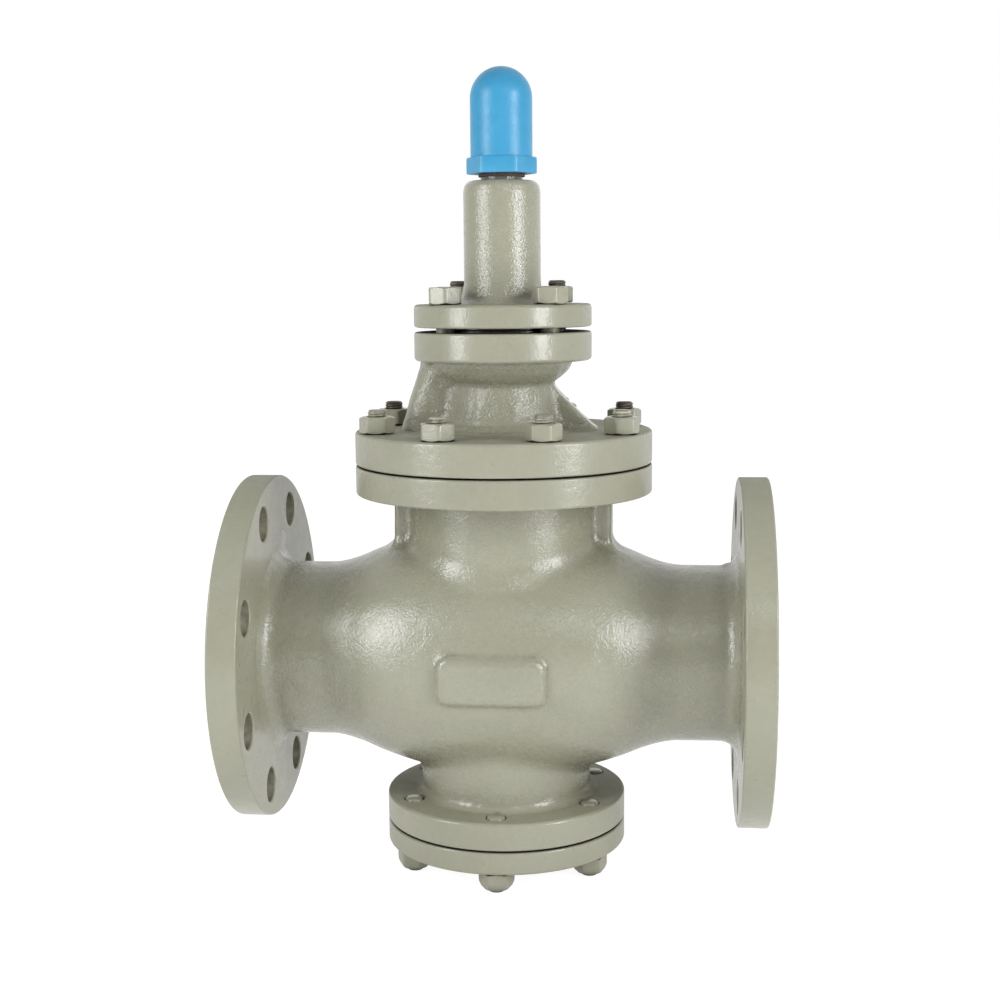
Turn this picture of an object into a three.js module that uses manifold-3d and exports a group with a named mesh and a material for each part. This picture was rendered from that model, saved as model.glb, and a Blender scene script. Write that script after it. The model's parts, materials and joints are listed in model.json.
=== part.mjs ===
// Pilot-operated, piston-type pressure reducing valve, nominal size 100, flanged ends.
// Millimetres, +Z up, origin on the floor under the centre of the valve. The pipe axis runs
// along X: the inlet is at -X and the outlet at +X. The valve's own axis is Z.

import * as THREE from 'three';
import { mergeVertices } from 'three/addons/utils/BufferGeometryUtils.js';
import Module from 'manifold-3d';

const wasm = await Module();
wasm.setup();

// ---------------------------------------------------------------------------------------
// Driving dimensions

const GAP = 0.3;                    // left between two pieces that touch

// pipe flanges
const PIPE_Z = 144;
const FACE_TO_FACE = 350;
const PIPE_FLANGE_R = 115;
const PIPE_FLANGE_T = 21;
const RAISED_FACE_R = 80;
const RAISED_FACE_H = 1.5;
const PIPE_BOLT_CIRCLE_R = 95;
const PIPE_HOLE_R = 11.5;
const PIPE_HOLE_COUNT = 8;
const BORE_R = 50;

// cast body
const GLOBE_X = 144.3;
const GLOBE_R = 82.8;
const GLOBE_CENTRE_Z = PIPE_Z - 0.8;
const WALL = 11;
const NECK_R = 58;
const NECK_FILLET = 12;
const NECK_DROP = 1.5;
const PASSAGE_R = 47;
const PARTITION_T = 12;
const SEAT_PLATE_X = 54;
const CHAMBER_SLOPE_X = 34;
const CHAMBER_SLOPE_Z = 62;
const TOP_NECK_R = 61;
const TOP_RIB_X = 71.7;
const TOP_RIB_HALF = 15;
const PORT_X = 61;
const PORT_R = 2.5;
const PAD_X = -1.2;
const PAD_Y = 85;
const PAD_Z = PIPE_Z - 3.3;
const PAD_HALF_X = 31.5;
const PAD_HALF_Z = 12.6;
const PAD_EDGE = 3.5;

// joint between body and bonnet
const BODY_TOP_Z = 268.8;
const BODY_TOP_FLANGE_T = 18.6;
const BONNET_BASE_Z = 269.9;
const BONNET_FLANGE_R = 97.6;
const BONNET_FLANGE_T = 21.1;
const BONNET_STUD_CIRCLE_R = 85;
const BONNET_STUD_COUNT = 8;

// joint between bonnet and spring housing
const BONNET_TOP_Z = 355.2;
const HOUSING_BASE_Z = 358.3;
const HOUSING_FLANGE_R = 58;
const HOUSING_FLANGE_T = 14.7;
const BONNET_TOP_FLANGE_T = 18.7;
const REGISTER_R = 39.5;
const REGISTER_H = 1;
const HOUSING_STUD_CIRCLE_R = 47;
const HOUSING_STUD_COUNT = 4;

// joint between body and bottom cover
const BODY_BOTTOM_Z = 30.2;
const BODY_BOTTOM_FLANGE_T = 17.9;
const COVER_TOP_Z = 29;
const COVER_BASE_Z = 14.2;
const BOTTOM_FLANGE_R = 80;
const BOTTOM_NECK_R = 57;
const BOTTOM_STUD_CIRCLE_R = 67;
const BOTTOM_STUD_COUNT = 6;
const BOTTOM_STUD_PROUD = 1.2;
const BOTTOM_BORE_R = 46;
const COVER_SPIGOT_TOP_Z = 39.7;

// gaskets
const BONNET_GASKET_INNER_R = 45;
const BONNET_GASKET_OUTER_R = 77;
const BOTTOM_GASKET_OUTER_R = 60;

// M12 studs and nuts
const STUD_R = 6;
const STUD_CHAMFER = 1;
const TAPPED_R = STUD_R + GAP;
const CLEARANCE_R = 6.8;
const NUT_FLATS = 20.6;
const NUT_H = 10.8;
const BOTTOM_NUT_H = 12.2;
const NUT_STEP_DEGREES = 37;
const BONNET_STUD_BOTTOM_Z = 254.3;
const BONNET_STUD_TOP_Z = 307;
const HOUSING_STUD_BOTTOM_Z = 341;
const HOUSING_STUD_TOP_Z = 388;

// main valve and piston
const LINER_R = 40;
const LINER_OUTER_R = 49;
const LINER_LIP_R = 54;
const LINER_LIP_H = 6.5;
const LINER_BOTTOM_Z = 190;
const LINER_TOP_Z = 268.5;
const SEAT_R = 36;
const SEAT_OUTER_R = 43;
const SEAT_LIP_R = 47;
const SEAT_BOTTOM_Z = PIPE_Z - 8;
const SEAT_TOP_Z = PIPE_Z + 10;
const DISC_R = 42;
const DISC_T = 12;
const DISC_STEM_R = 8;
const DISC_GUIDE_R = 9;
const DISC_GUIDE_BOTTOM_Z = 80;
const PUSH_Z = 176;
const PISTON_R = 39.6;
const PISTON_BOTTOM_Z = 214;
const PISTON_TOP_Z = 250;
const RING_H = 3;
const RING_DEPTH = 4;
const RING_BOTTOMS_Z = [220.3, 228.3];

// pilot valve in the bonnet
const PILOT_CHAMBER_R = 9;
const PILOT_CHAMBER_FLOOR_Z = 296;
const PILOT_POCKET_R = 12.3;
const PILOT_POCKET_FLOOR_Z = 326;
const DIAPHRAGM_CHAMBER_R = 30;
const DIAPHRAGM_CHAMBER_FLOOR_Z = 350.5;
const PISTON_CHAMBER_R = 36;
const PISTON_CHAMBER_TOP_Z = 277;
const PILOT_BORE_R = 3.6;
const PILOT_COLLAR_Z = 318;
const PILOT_SEAT_FLATS = 28;
const PILOT_SEAT_HEAD_H = 2.6;
const CONTROL_PORT_R = 2;
const CONTROL_PORT_Z = 338;

// adjusting spring, screw and cap
const HOUSING_R = 25;
const HOUSING_BORE_R = 20;
const HOUSING_SHOULDER_Z = 451.6;
const SPIGOT_R = 13.5;
const SPIGOT_TOP_Z = 470;
const LOWER_SEAT_R = 26;
const UPPER_SEAT_R = 19.2;
const UPPER_SEAT_Z = 425;
const LOWER_SEAT_TOP_Z = 362.3;
const SPRING_GUIDE_R = 12;
const SCREW_BOTTOM_Z = 431.3;
const SCREW_TOP_Z = 502;
const SCREW_SQUARE = 8;
const SCREW_SQUARE_H = 10;
const LOCK_NUT_H = 7;
const LOCK_NUT_FLATS = 18;
const CAP_BASE_Z = 456;
const CAP_R = 20;
const CAP_FLATS = 40.2;
const CAP_HEX_H = 10.6;
const CAP_DOME_Z = 503.7;
const CAP_BORE_R = 15;
const CAP_SEAL_R = 15;
const CAP_SEAL_H = 1.6;

// springs: mean radius of the coil, radius of the wire and number of turns
const MAIN_SPRING = [17, 2.3, 6];
const PILOT_SPRING = [5, 0.8, 4];
const ADJUSTING_SPRING = [15.9, 2.5, 5];

// facets round a circle
const FINE = 32;
const ROUND = 24;
const COARSE = 16;
const NUT_FACETS = 12;
const SMALL = 8;
const COIL_STEPS = 9;
const WIRE_FACETS = 5;

// ---------------------------------------------------------------------------------------
// Materials

function finish(colour, roughness, metalness) {
  return new THREE.MeshStandardMaterial({ color: colour, roughness, metalness });
}

const PAINT = finish(0xaaa995, 0.35, 0.1);
const CAP_BLUE = finish(0x4faeda, 0.4, 0);
const DARK_STEEL = finish(0x46403a, 0.6, 0.8);
const STAINLESS = finish(0xb4b6b8, 0.3, 1);
const SPRING_STEEL = finish(0x5c5f63, 0.45, 0.9);
const RING_IRON = finish(0x6a6c6e, 0.5, 0.9);
const GRAPHITE = finish(0x2f3030, 0.8, 0);
const RED_FIBRE = finish(0x5a3b35, 0.7, 0);

// ---------------------------------------------------------------------------------------
// Solid-making helpers

function signedVolume(geometry) {
  const p = geometry.attributes.position;
  const index = geometry.index;
  const a = new THREE.Vector3();
  const b = new THREE.Vector3();
  const c = new THREE.Vector3();
  let total = 0;
  for (let i = 0; i < index.count; i += 3) {
    a.fromBufferAttribute(p, index.getX(i));
    b.fromBufferAttribute(p, index.getX(i + 1));
    c.fromBufferAttribute(p, index.getX(i + 2));
    total += a.dot(b.cross(c)) / 6;
  }
  return total;
}

// A closed geometry becomes a solid: shared vertices merged, slivers dropped, faces outward.
function solid(geometry) {
  const bare = geometry.clone();
  bare.deleteAttribute('normal');
  bare.deleteAttribute('uv');
  const merged = mergeVertices(bare, 1e-4);
  const flip = signedVolume(merged) < 0;
  const source = merged.index.array;
  const triangles = [];
  for (let i = 0; i < source.length; i += 3) {
    const [a, b, c] = [source[i], source[i + 1], source[i + 2]];
    if (a !== b && b !== c && c !== a) {
      triangles.push(...(flip ? [a, c, b] : [a, b, c]));
    }
  }
  return new wasm.Manifold(new wasm.Mesh({
    numProp: 3,
    vertProperties: new Float32Array(merged.attributes.position.array),
    triVerts: new Uint32Array(triangles),
  }));
}

function geometryOf(manifold) {
  const mesh = manifold.getMesh();
  const geometry = new THREE.BufferGeometry();
  geometry.setAttribute('position', new THREE.BufferAttribute(mesh.vertProperties, mesh.numProp));
  geometry.setIndex(new THREE.BufferAttribute(mesh.triVerts, 1));
  geometry.computeVertexNormals();
  return geometry;
}

// A profile of [radius, height] points turned about Z. Off the axis it closes on itself.
function turned(profile, sides = ROUND) {
  const points = profile.map(([r, z]) => new THREE.Vector2(r, z));
  if (profile[0][0] > 0) {
    points.push(points[0].clone());
  }
  return solid(new THREE.LatheGeometry(points, sides).rotateX(Math.PI / 2));
}

function cylinder(radius, bottom, top, sides = SMALL) {
  return turned([[0, bottom], [radius, bottom], [radius, top], [0, top]], sides);
}

function ring(inner, outer, bottom, top, sides = ROUND) {
  return turned([[inner, bottom], [outer, bottom], [outer, top], [inner, top]], sides);
}

// A turned solid laid along X, heights becoming distances along +X.
function turnedAlongX(profile, sides = ROUND) {
  return turned(profile, sides).rotate([0, 90, 0]);
}

// An outline of [x, z] points, as thick as twice half, across Y.
function plate(outline, half) {
  const shape = new THREE.Shape(outline.map(([x, z]) => new THREE.Vector2(x, z)));
  const geometry = new THREE.ExtrudeGeometry(shape, { depth: 2 * half, bevelEnabled: false });
  return solid(geometry.translate(0, 0, -half).rotateX(Math.PI / 2));
}

function block(size, centre) {
  return solid(new THREE.BoxGeometry(...size).translate(...centre));
}

// A round drilling between two points.
function drilling(from, to, radius = PORT_R) {
  const start = new THREE.Vector3(...from);
  const end = new THREE.Vector3(...to);
  const along = end.clone().sub(start);
  const geometry = new THREE.CylinderGeometry(radius, radius, along.length(), SMALL);
  const turn = new THREE.Quaternion().setFromUnitVectors(
    new THREE.Vector3(0, 1, 0),
    along.clone().normalize(),
  );
  geometry.applyQuaternion(turn);
  const middle = start.lerp(end, 0.5);
  return solid(geometry.translate(middle.x, middle.y, middle.z));
}

function hexagon(flats, bottom, top) {
  const radius = flats / Math.sqrt(3);
  const outline = [];
  for (let i = 0; i < 6; i += 1) {
    outline.push(new THREE.Vector2(...onCircle(radius, i * 60)));
  }
  const geometry = new THREE.ExtrudeGeometry(
    new THREE.Shape(outline),
    { depth: top - bottom, bevelEnabled: false },
  );
  return solid(geometry.translate(0, 0, bottom));
}

// A closed-coil compression spring standing on Z between two faces.
function coil([meanRadius, wireRadius, turns], bottom, top) {
  class Helix extends THREE.Curve {
    getPoint(t, target = new THREE.Vector3()) {
      const angle = t * turns * 2 * Math.PI;
      const low = bottom + wireRadius;
      const high = top - wireRadius;
      return target.set(
        meanRadius * Math.cos(angle),
        meanRadius * Math.sin(angle),
        THREE.MathUtils.lerp(low, high, t),
      );
    }
  }
  const section = [];
  for (let i = 0; i < WIRE_FACETS; i += 1) {
    const angle = i * 2 * Math.PI / WIRE_FACETS;
    section.push(new THREE.Vector2(wireRadius * Math.cos(angle), wireRadius * Math.sin(angle)));
  }
  return new THREE.ExtrudeGeometry(new THREE.Shape(section), {
    steps: turns * COIL_STEPS,
    extrudePath: new Helix(),
    bevelEnabled: false,
  });
}

// Angle in degrees of the i-th fastener on a circle that straddles the X axis.
function straddled(i, count) {
  return (i + 0.5) * 360 / count;
}

function onCircle(radius, degrees) {
  const angle = THREE.MathUtils.degToRad(degrees);
  return [radius * Math.cos(angle), radius * Math.sin(angle)];
}

function boltHoles(radius, count, holeR, bottom, top, sides = SMALL) {
  const holes = [];
  for (let i = 0; i < count; i += 1) {
    const [x, y] = onCircle(radius, straddled(i, count));
    holes.push(cylinder(holeR, bottom, top, sides).translate([x, y, 0]));
  }
  return holes.reduce((all, hole) => all.add(hole));
}

// ---------------------------------------------------------------------------------------
// Body casting

function globe(shrink, sides) {
  const geometry = new THREE.SphereGeometry(1, sides, sides / 2);
  geometry.scale(GLOBE_X - shrink, GLOBE_R - shrink, GLOBE_R - shrink);
  return solid(geometry.translate(0, 0, GLOBE_CENTRE_Z));
}

// One pipe flange with its raised face, drilled, at the +X end.
function pipeFlange() {
  const face = FACE_TO_FACE / 2;
  const back = face - PIPE_FLANGE_T;
  const disc = turnedAlongX([
    [0, back],
    [PIPE_FLANGE_R, back],
    [PIPE_FLANGE_R, face - RAISED_FACE_H],
    [RAISED_FACE_R, face - RAISED_FACE_H],
    [RAISED_FACE_R, face],
    [0, face],
  ], FINE);
  const holes = boltHoles(
    PIPE_BOLT_CIRCLE_R,
    PIPE_HOLE_COUNT,
    PIPE_HOLE_R,
    back - 1,
    face + 1,
    NUT_FACETS,
  );
  return disc.subtract(holes.rotate([0, 90, 0]));
}

// The pipe neck behind a flange, flared into it and into the globe, at the +X end.
function pipeNeck() {
  const back = FACE_TO_FACE / 2 - PIPE_FLANGE_T;
  const flare = [0, 30, 60, 90].map((degrees) => {
    const angle = THREE.MathUtils.degToRad(degrees);
    return [
      NECK_R + NECK_FILLET * (1 - Math.cos(angle)),
      back - NECK_FILLET + NECK_FILLET * Math.sin(angle),
    ];
  });
  const outer = [[NECK_R, 60], ...flare, [NECK_R + NECK_FILLET, back + 4]];
  return turnedAlongX([[0, 60], ...outer, [0, back + 4]]);
}

// The passage inside a neck, from its flange face down to the dropped neck, at the +X end.
function passage() {
  const face = FACE_TO_FACE / 2;
  const inner = 60;
  const length = face + 1 - inner;
  const geometry = new THREE.CylinderGeometry(BORE_R, PASSAGE_R, length, ROUND);
  geometry.rotateZ(-Math.PI / 2).translate(inner + length / 2, 0, 0);
  const slope = NECK_DROP / length;
  const shear = new THREE.Matrix4().set(
    1, 0, 0, 0,
    0, 1, 0, 0,
    slope, 0, 1, -slope * face,
    0, 0, 0, 1,
  );
  return solid(geometry.applyMatrix4(shear));
}

// Everything on the inlet side of the S-shaped partition, as an X-Z outline. The outlet side
// is the same outline turned half a turn about the pipe axis.
function chamberOutline(reach) {
  const plateZ = -PARTITION_T / 2;
  const corner = SEAT_PLATE_X + 8;
  const outerCorner = corner + 8;
  return [
    [SEAT_PLATE_X, plateZ],
    [-corner, plateZ],
    [-outerCorner, -plateZ],
    [-outerCorner - CHAMBER_SLOPE_X, -plateZ + CHAMBER_SLOPE_Z],
    [-reach, -plateZ + CHAMBER_SLOPE_Z],
    [-reach, -reach / 2],
    [SEAT_PLATE_X + CHAMBER_SLOPE_X, -reach / 2],
    [SEAT_PLATE_X + CHAMBER_SLOPE_X, plateZ - CHAMBER_SLOPE_Z],
  ];
}

function chambers() {
  const reach = FACE_TO_FACE / 2 + 5;
  const inletSide = plate(chamberOutline(reach), GLOBE_R);
  const outletSide = inletSide.rotate([0, 180, 0]);
  const hollow = globe(WALL, COARSE);
  const outletPassage = passage().translate([0, 0, PIPE_Z]);
  const inletPassage = outletPassage.rotate([0, 0, 180]);
  const inlet = hollow.add(inletPassage).intersect(inletSide.translate([0, 0, PIPE_Z]));
  const outlet = hollow.add(outletPassage).intersect(outletSide.translate([0, 0, PIPE_Z]));
  return inlet.add(outlet);
}

// Raised blank pad with sloping edges on the front of the globe.
function nameplatePad() {
  const radius = 6;
  const outline = new THREE.Shape();
  const corners = [[1, -1, -90], [1, 1, 0], [-1, 1, 90], [-1, -1, 180]];
  for (const [sx, sz, start] of corners) {
    for (const degrees of [start, start + 45, start + 90]) {
      const [dx, dz] = onCircle(radius, degrees);
      const x = sx * (PAD_HALF_X - radius) + dx;
      const z = sz * (PAD_HALF_Z - radius) + dz;
      if (outline.curves.length === 0 && outline.currentPoint.length() === 0) {
        outline.moveTo(x, z);
      } else {
        outline.lineTo(x, z);
      }
    }
  }
  const depth = PAD_Y - GLOBE_R / 2;
  const geometry = new THREE.ExtrudeGeometry(outline, {
    depth: depth - PAD_EDGE,
    bevelThickness: PAD_EDGE,
    bevelSize: PAD_EDGE,
    bevelSegments: 1,
  });
  geometry.rotateX(Math.PI / 2);
  return solid(geometry.translate(PAD_X, -GLOBE_R / 2, PAD_Z));
}

function bodyOutside() {
  const flange = pipeFlange();
  const neck = pipeNeck();
  const topFlangeBase = BODY_TOP_Z - BODY_TOP_FLANGE_T;
  const bottomFlangeTop = BODY_BOTTOM_Z + BODY_BOTTOM_FLANGE_T;
  const ribHeight = topFlangeBase - PIPE_Z - 40;
  const pieces = [
    globe(0, ROUND),
    flange.translate([0, 0, PIPE_Z]),
    flange.rotate([0, 0, 180]).translate([0, 0, PIPE_Z]),
    neck.translate([0, 0, PIPE_Z - NECK_DROP]),
    neck.rotate([0, 0, 180]).translate([0, 0, PIPE_Z - NECK_DROP]),
    turned([
      [0, PIPE_Z],
      [TOP_NECK_R, PIPE_Z],
      [TOP_NECK_R, topFlangeBase - 3],
      [TOP_NECK_R + 3, topFlangeBase],
      [BONNET_FLANGE_R, topFlangeBase],
      [BONNET_FLANGE_R, BODY_TOP_Z],
      [0, BODY_TOP_Z],
    ], FINE),
    turned([
      [0, BODY_BOTTOM_Z],
      [BOTTOM_FLANGE_R, BODY_BOTTOM_Z],
      [BOTTOM_FLANGE_R, bottomFlangeTop],
      [BOTTOM_NECK_R + 2, bottomFlangeTop],
      [BOTTOM_NECK_R, bottomFlangeTop + 3],
      [BOTTOM_NECK_R, PIPE_Z],
      [0, PIPE_Z],
    ], FINE),
    block([2 * TOP_RIB_X, 2 * TOP_RIB_HALF, ribHeight], [0, 0, topFlangeBase - ribHeight / 2]),
    nameplatePad(),
  ];
  return pieces.reduce((all, piece) => all.add(piece));
}

function makeBody() {
  const topFlangeBase = BODY_TOP_Z - BODY_TOP_FLANGE_T;
  const supplyTurnZ = PIPE_Z + 72;
  const supplyMouth = [-PORT_X - 43, 0, PIPE_Z + 28];
  const sensingMouthZ = PIPE_Z + 40;
  const cuts = [
    chambers(),
    cylinder(SEAT_OUTER_R + GAP, PIPE_Z - PARTITION_T, PIPE_Z + PARTITION_T, ROUND),
    cylinder(LINER_OUTER_R + GAP, LINER_BOTTOM_Z - 5, BODY_TOP_Z + 1, ROUND),
    cylinder(LINER_LIP_R + GAP, LINER_TOP_Z - LINER_LIP_H - GAP, BODY_TOP_Z + 1, ROUND),
    cylinder(BOTTOM_BORE_R, BODY_BOTTOM_Z - 1, GLOBE_CENTRE_Z - GLOBE_R + 2 * WALL, FINE),
    boltHoles(BONNET_STUD_CIRCLE_R, BONNET_STUD_COUNT, TAPPED_R, topFlangeBase + 3, BODY_TOP_Z + 1),
    boltHoles(
      BOTTOM_STUD_CIRCLE_R,
      BOTTOM_STUD_COUNT,
      TAPPED_R,
      BODY_BOTTOM_Z - 1,
      BODY_BOTTOM_Z + BODY_BOTTOM_FLANGE_T + 1,
    ),
    drilling([-PORT_X, 0, BODY_TOP_Z + 1], [-PORT_X, 0, supplyTurnZ]),
    drilling([-PORT_X, 0, supplyTurnZ], supplyMouth),
    drilling([PORT_X, 0, BODY_TOP_Z + 1], [PORT_X, 0, sensingMouthZ]),
  ];
  return cuts.reduce((left, cut) => left.subtract(cut), bodyOutside());
}

// ---------------------------------------------------------------------------------------
// Bottom cover and the parts inside the body

function makeBottomCover() {
  const guideTop = 75;
  const guideWall = 4;
  const pocketFloor = 34;
  const cover = turned([
    [0, COVER_BASE_Z],
    [BOTTOM_FLANGE_R, COVER_BASE_Z],
    [BOTTOM_FLANGE_R, COVER_TOP_Z],
    [BOTTOM_BORE_R - GAP, COVER_TOP_Z],
    [BOTTOM_BORE_R - GAP, COVER_SPIGOT_TOP_Z],
    [DISC_GUIDE_R + guideWall, COVER_SPIGOT_TOP_Z],
    [DISC_GUIDE_R + guideWall, guideTop],
    [DISC_GUIDE_R + GAP, guideTop],
    [DISC_GUIDE_R + GAP, pocketFloor],
    [0, pocketFloor],
  ], FINE);
  const holes = boltHoles(
    BOTTOM_STUD_CIRCLE_R,
    BOTTOM_STUD_COUNT,
    CLEARANCE_R,
    COVER_BASE_Z - 1,
    COVER_TOP_Z + 1,
  );
  return cover.subtract(holes);
}

function makeSeatRing() {
  return turned([
    [SEAT_R, SEAT_BOTTOM_Z],
    [SEAT_R + 2.5, SEAT_BOTTOM_Z],
    [SEAT_R + 4, SEAT_BOTTOM_Z + 3],
    [SEAT_OUTER_R, SEAT_BOTTOM_Z + 3],
    [SEAT_OUTER_R, PIPE_Z + PARTITION_T / 2 + GAP],
    [SEAT_LIP_R, PIPE_Z + PARTITION_T / 2 + GAP],
    [SEAT_LIP_R, SEAT_TOP_Z],
    [SEAT_R, SEAT_TOP_Z],
  ]);
}

function makeLiner() {
  return turned([
    [LINER_R, LINER_BOTTOM_Z],
    [LINER_OUTER_R, LINER_BOTTOM_Z],
    [LINER_OUTER_R, LINER_TOP_Z - LINER_LIP_H],
    [LINER_LIP_R, LINER_TOP_Z - LINER_LIP_H],
    [LINER_LIP_R, LINER_TOP_Z],
    [LINER_R, LINER_TOP_Z],
  ]);
}

// Main disc with its push stem above and its guide stem below, turned in one piece.
function makeMainDisc() {
  const top = SEAT_BOTTOM_Z - GAP;
  return turned([
    [0, DISC_GUIDE_BOTTOM_Z],
    [DISC_GUIDE_R, DISC_GUIDE_BOTTOM_Z],
    [DISC_GUIDE_R, top - DISC_T],
    [DISC_R, top - DISC_T],
    [DISC_R, top - 2],
    [DISC_R - 2, top],
    [DISC_STEM_R, top],
    [DISC_STEM_R, PUSH_Z],
    [0, PUSH_Z],
  ]);
}

function makePiston() {
  const grooves = RING_BOTTOMS_Z.flatMap((z) => [
    [PISTON_R, z - GAP],
    [PISTON_R - RING_DEPTH, z - GAP],
    [PISTON_R - RING_DEPTH, z + RING_H + GAP],
    [PISTON_R, z + RING_H + GAP],
  ]);
  return turned([
    [0, PUSH_Z + GAP],
    [DISC_STEM_R, PUSH_Z + GAP],
    [DISC_STEM_R, PISTON_BOTTOM_Z],
    [PISTON_R, PISTON_BOTTOM_Z],
    ...grooves,
    [PISTON_R, PISTON_TOP_Z],
    [PISTON_R - 8, PISTON_TOP_Z],
    [PISTON_R - 8, PISTON_BOTTOM_Z + 8],
    [0, PISTON_BOTTOM_Z + 8],
  ]);
}

// Split ring, its gap turned away from the gap of the ring beside it.
function makePistonRing(bottom, gapDegrees) {
  const inner = PISTON_R - RING_DEPTH + GAP;
  const outer = LINER_R - 0.15;
  const split = block([10, 1, 2 * RING_H], [outer - 2, 0, bottom + RING_H / 2]);
  return ring(inner, outer, bottom, bottom + RING_H).subtract(split.rotate([0, 0, gapDegrees]));
}

// ---------------------------------------------------------------------------------------
// Bonnet, with the pilot valve's chambers and the sensing passages

function bonnetOutside() {
  const flangeTop = BONNET_BASE_Z + BONNET_FLANGE_T;
  const lipZ = BONNET_TOP_Z - BONNET_TOP_FLANGE_T;
  const neckR = 32;
  return turned([
    [0, BONNET_BASE_Z],
    [BONNET_FLANGE_R, BONNET_BASE_Z],
    [BONNET_FLANGE_R, flangeTop],
    [neckR + 9, flangeTop],
    [neckR + 5, flangeTop + 2],
    [neckR + 3, flangeTop + 6],
    [neckR, lipZ - 17],
    [neckR + 0.7, lipZ - 14.5],
    [neckR + 8.6, lipZ - 10.5],
    [neckR + 12.6, lipZ - 3.5],
    [neckR + 14, lipZ],
    [HOUSING_FLANGE_R, lipZ],
    [HOUSING_FLANGE_R, BONNET_TOP_Z],
    [REGISTER_R, BONNET_TOP_Z],
    [REGISTER_R, BONNET_TOP_Z + REGISTER_H],
    [0, BONNET_TOP_Z + REGISTER_H],
  ], FINE);
}

// Thick rounded rib on the inlet side that carries the supply passage to the pilot valve.
function supplyRib() {
  const half = 13;
  const flangeTop = BONNET_BASE_Z + BONNET_FLANGE_T;
  const lipZ = BONNET_TOP_Z - BONNET_TOP_FLANGE_T;
  const foot = -55.5;
  const head = -40;
  const web = plate([
    [-15, flangeTop - 3],
    [foot - 1, flangeTop - 3],
    [head, lipZ + 1],
    [-15, lipZ + 1],
  ], half);
  return web.add(drilling([foot - 1, 0, flangeTop - 3], [head, 0, lipZ + 1], half));
}

// Flat gusset on the outlet side that carries the passage to the diaphragm.
function sensingRib() {
  const flangeTop = BONNET_BASE_Z + BONNET_FLANGE_T;
  return plate([
    [15, flangeTop - 3],
    [62, flangeTop - 3],
    [32, flangeTop + 26],
    [15, flangeTop + 26],
  ], 11);
}

function makeBonnet() {
  const flangeTop = BONNET_BASE_Z + BONNET_FLANGE_T;
  const outside = bonnetOutside().add(supplyRib()).add(sensingRib());
  const supplyTurnZ = 283;
  const sensingTurnZ = 278;
  const sensingRiser = [20, 0, 317];
  const cuts = [
    cylinder(PISTON_CHAMBER_R, BONNET_BASE_Z - 1, PISTON_CHAMBER_TOP_Z, COARSE),
    cylinder(PILOT_CHAMBER_R, PILOT_CHAMBER_FLOOR_Z, PILOT_POCKET_FLOOR_Z + 1),
    cylinder(PILOT_POCKET_R, PILOT_POCKET_FLOOR_Z, DIAPHRAGM_CHAMBER_FLOOR_Z + 1, COARSE),
    cylinder(DIAPHRAGM_CHAMBER_R, DIAPHRAGM_CHAMBER_FLOOR_Z, BONNET_TOP_Z + 2, COARSE),
    boltHoles(
      BONNET_STUD_CIRCLE_R,
      BONNET_STUD_COUNT,
      CLEARANCE_R,
      BONNET_BASE_Z - 1,
      flangeTop + 1,
    ),
    boltHoles(
      HOUSING_STUD_CIRCLE_R,
      HOUSING_STUD_COUNT,
      TAPPED_R,
      BONNET_TOP_Z - BONNET_TOP_FLANGE_T + 3,
      BONNET_TOP_Z + 1,
    ),
    // supply: body port, up the inlet rib, into the pilot chamber
    drilling([-PORT_X, 0, BONNET_BASE_Z - 1], [-PORT_X, 0, supplyTurnZ + 1]),
    drilling([-PORT_X - 1, 0, supplyTurnZ - 1], [-5, 0, 312]),
    // control: from beside the pilot seat down to the piston chamber
    drilling([0, 10, CONTROL_PORT_Z], [0, 26, PISTON_CHAMBER_TOP_Z - 5], CONTROL_PORT_R),
    // sensing: body port, up the outlet rib, into the diaphragm chamber
    drilling([PORT_X, 0, BONNET_BASE_Z - 1], [PORT_X, 0, sensingTurnZ + 1]),
    drilling([PORT_X + 1, 0, sensingTurnZ - 1], sensingRiser),
    drilling(sensingRiser, [20, 0, DIAPHRAGM_CHAMBER_FLOOR_Z + 1]),
  ];
  return cuts.reduce((left, cut) => left.subtract(cut), outside);
}

function makeBonnetGasket() {
  const portHoleR = 4;
  const sheet = ring(
    BONNET_GASKET_INNER_R,
    BONNET_GASKET_OUTER_R,
    BODY_TOP_Z + GAP,
    BONNET_BASE_Z - GAP,
  );
  const hole = cylinder(portHoleR, BODY_TOP_Z, BONNET_BASE_Z);
  return sheet.subtract(hole.translate([-PORT_X, 0, 0])).subtract(hole.translate([PORT_X, 0, 0]));
}

function makePilotSeat() {
  const bottom = PILOT_POCKET_FLOOR_Z + GAP;
  const hexBottom = DIAPHRAGM_CHAMBER_FLOOR_Z + GAP;
  const bush = ring(PILOT_BORE_R, PILOT_POCKET_R - GAP, bottom, hexBottom + 1, COARSE);
  const head = hexagon(PILOT_SEAT_FLATS, hexBottom, hexBottom + PILOT_SEAT_HEAD_H);
  const bore = cylinder(PILOT_BORE_R, hexBottom - 1, hexBottom + 4, COARSE);
  const port = drilling(
    [0, 0, CONTROL_PORT_Z],
    [0, PILOT_POCKET_R + 2, CONTROL_PORT_Z],
    CONTROL_PORT_R,
  );
  return bush.add(head.subtract(bore)).subtract(port);
}

function makePilotValve() {
  const stemR = 2.5;
  const collarR = 6.5;
  const guideR = 3;
  return turned([
    [0, PILOT_COLLAR_Z - 13],
    [guideR, PILOT_COLLAR_Z - 13],
    [guideR, PILOT_COLLAR_Z],
    [collarR, PILOT_COLLAR_Z],
    [collarR, PILOT_COLLAR_Z + 3],
    [stemR, PILOT_COLLAR_Z + 7.9],
    [stemR, BONNET_TOP_Z + REGISTER_H],
    [0, BONNET_TOP_Z + REGISTER_H],
  ], SMALL);
}

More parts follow.
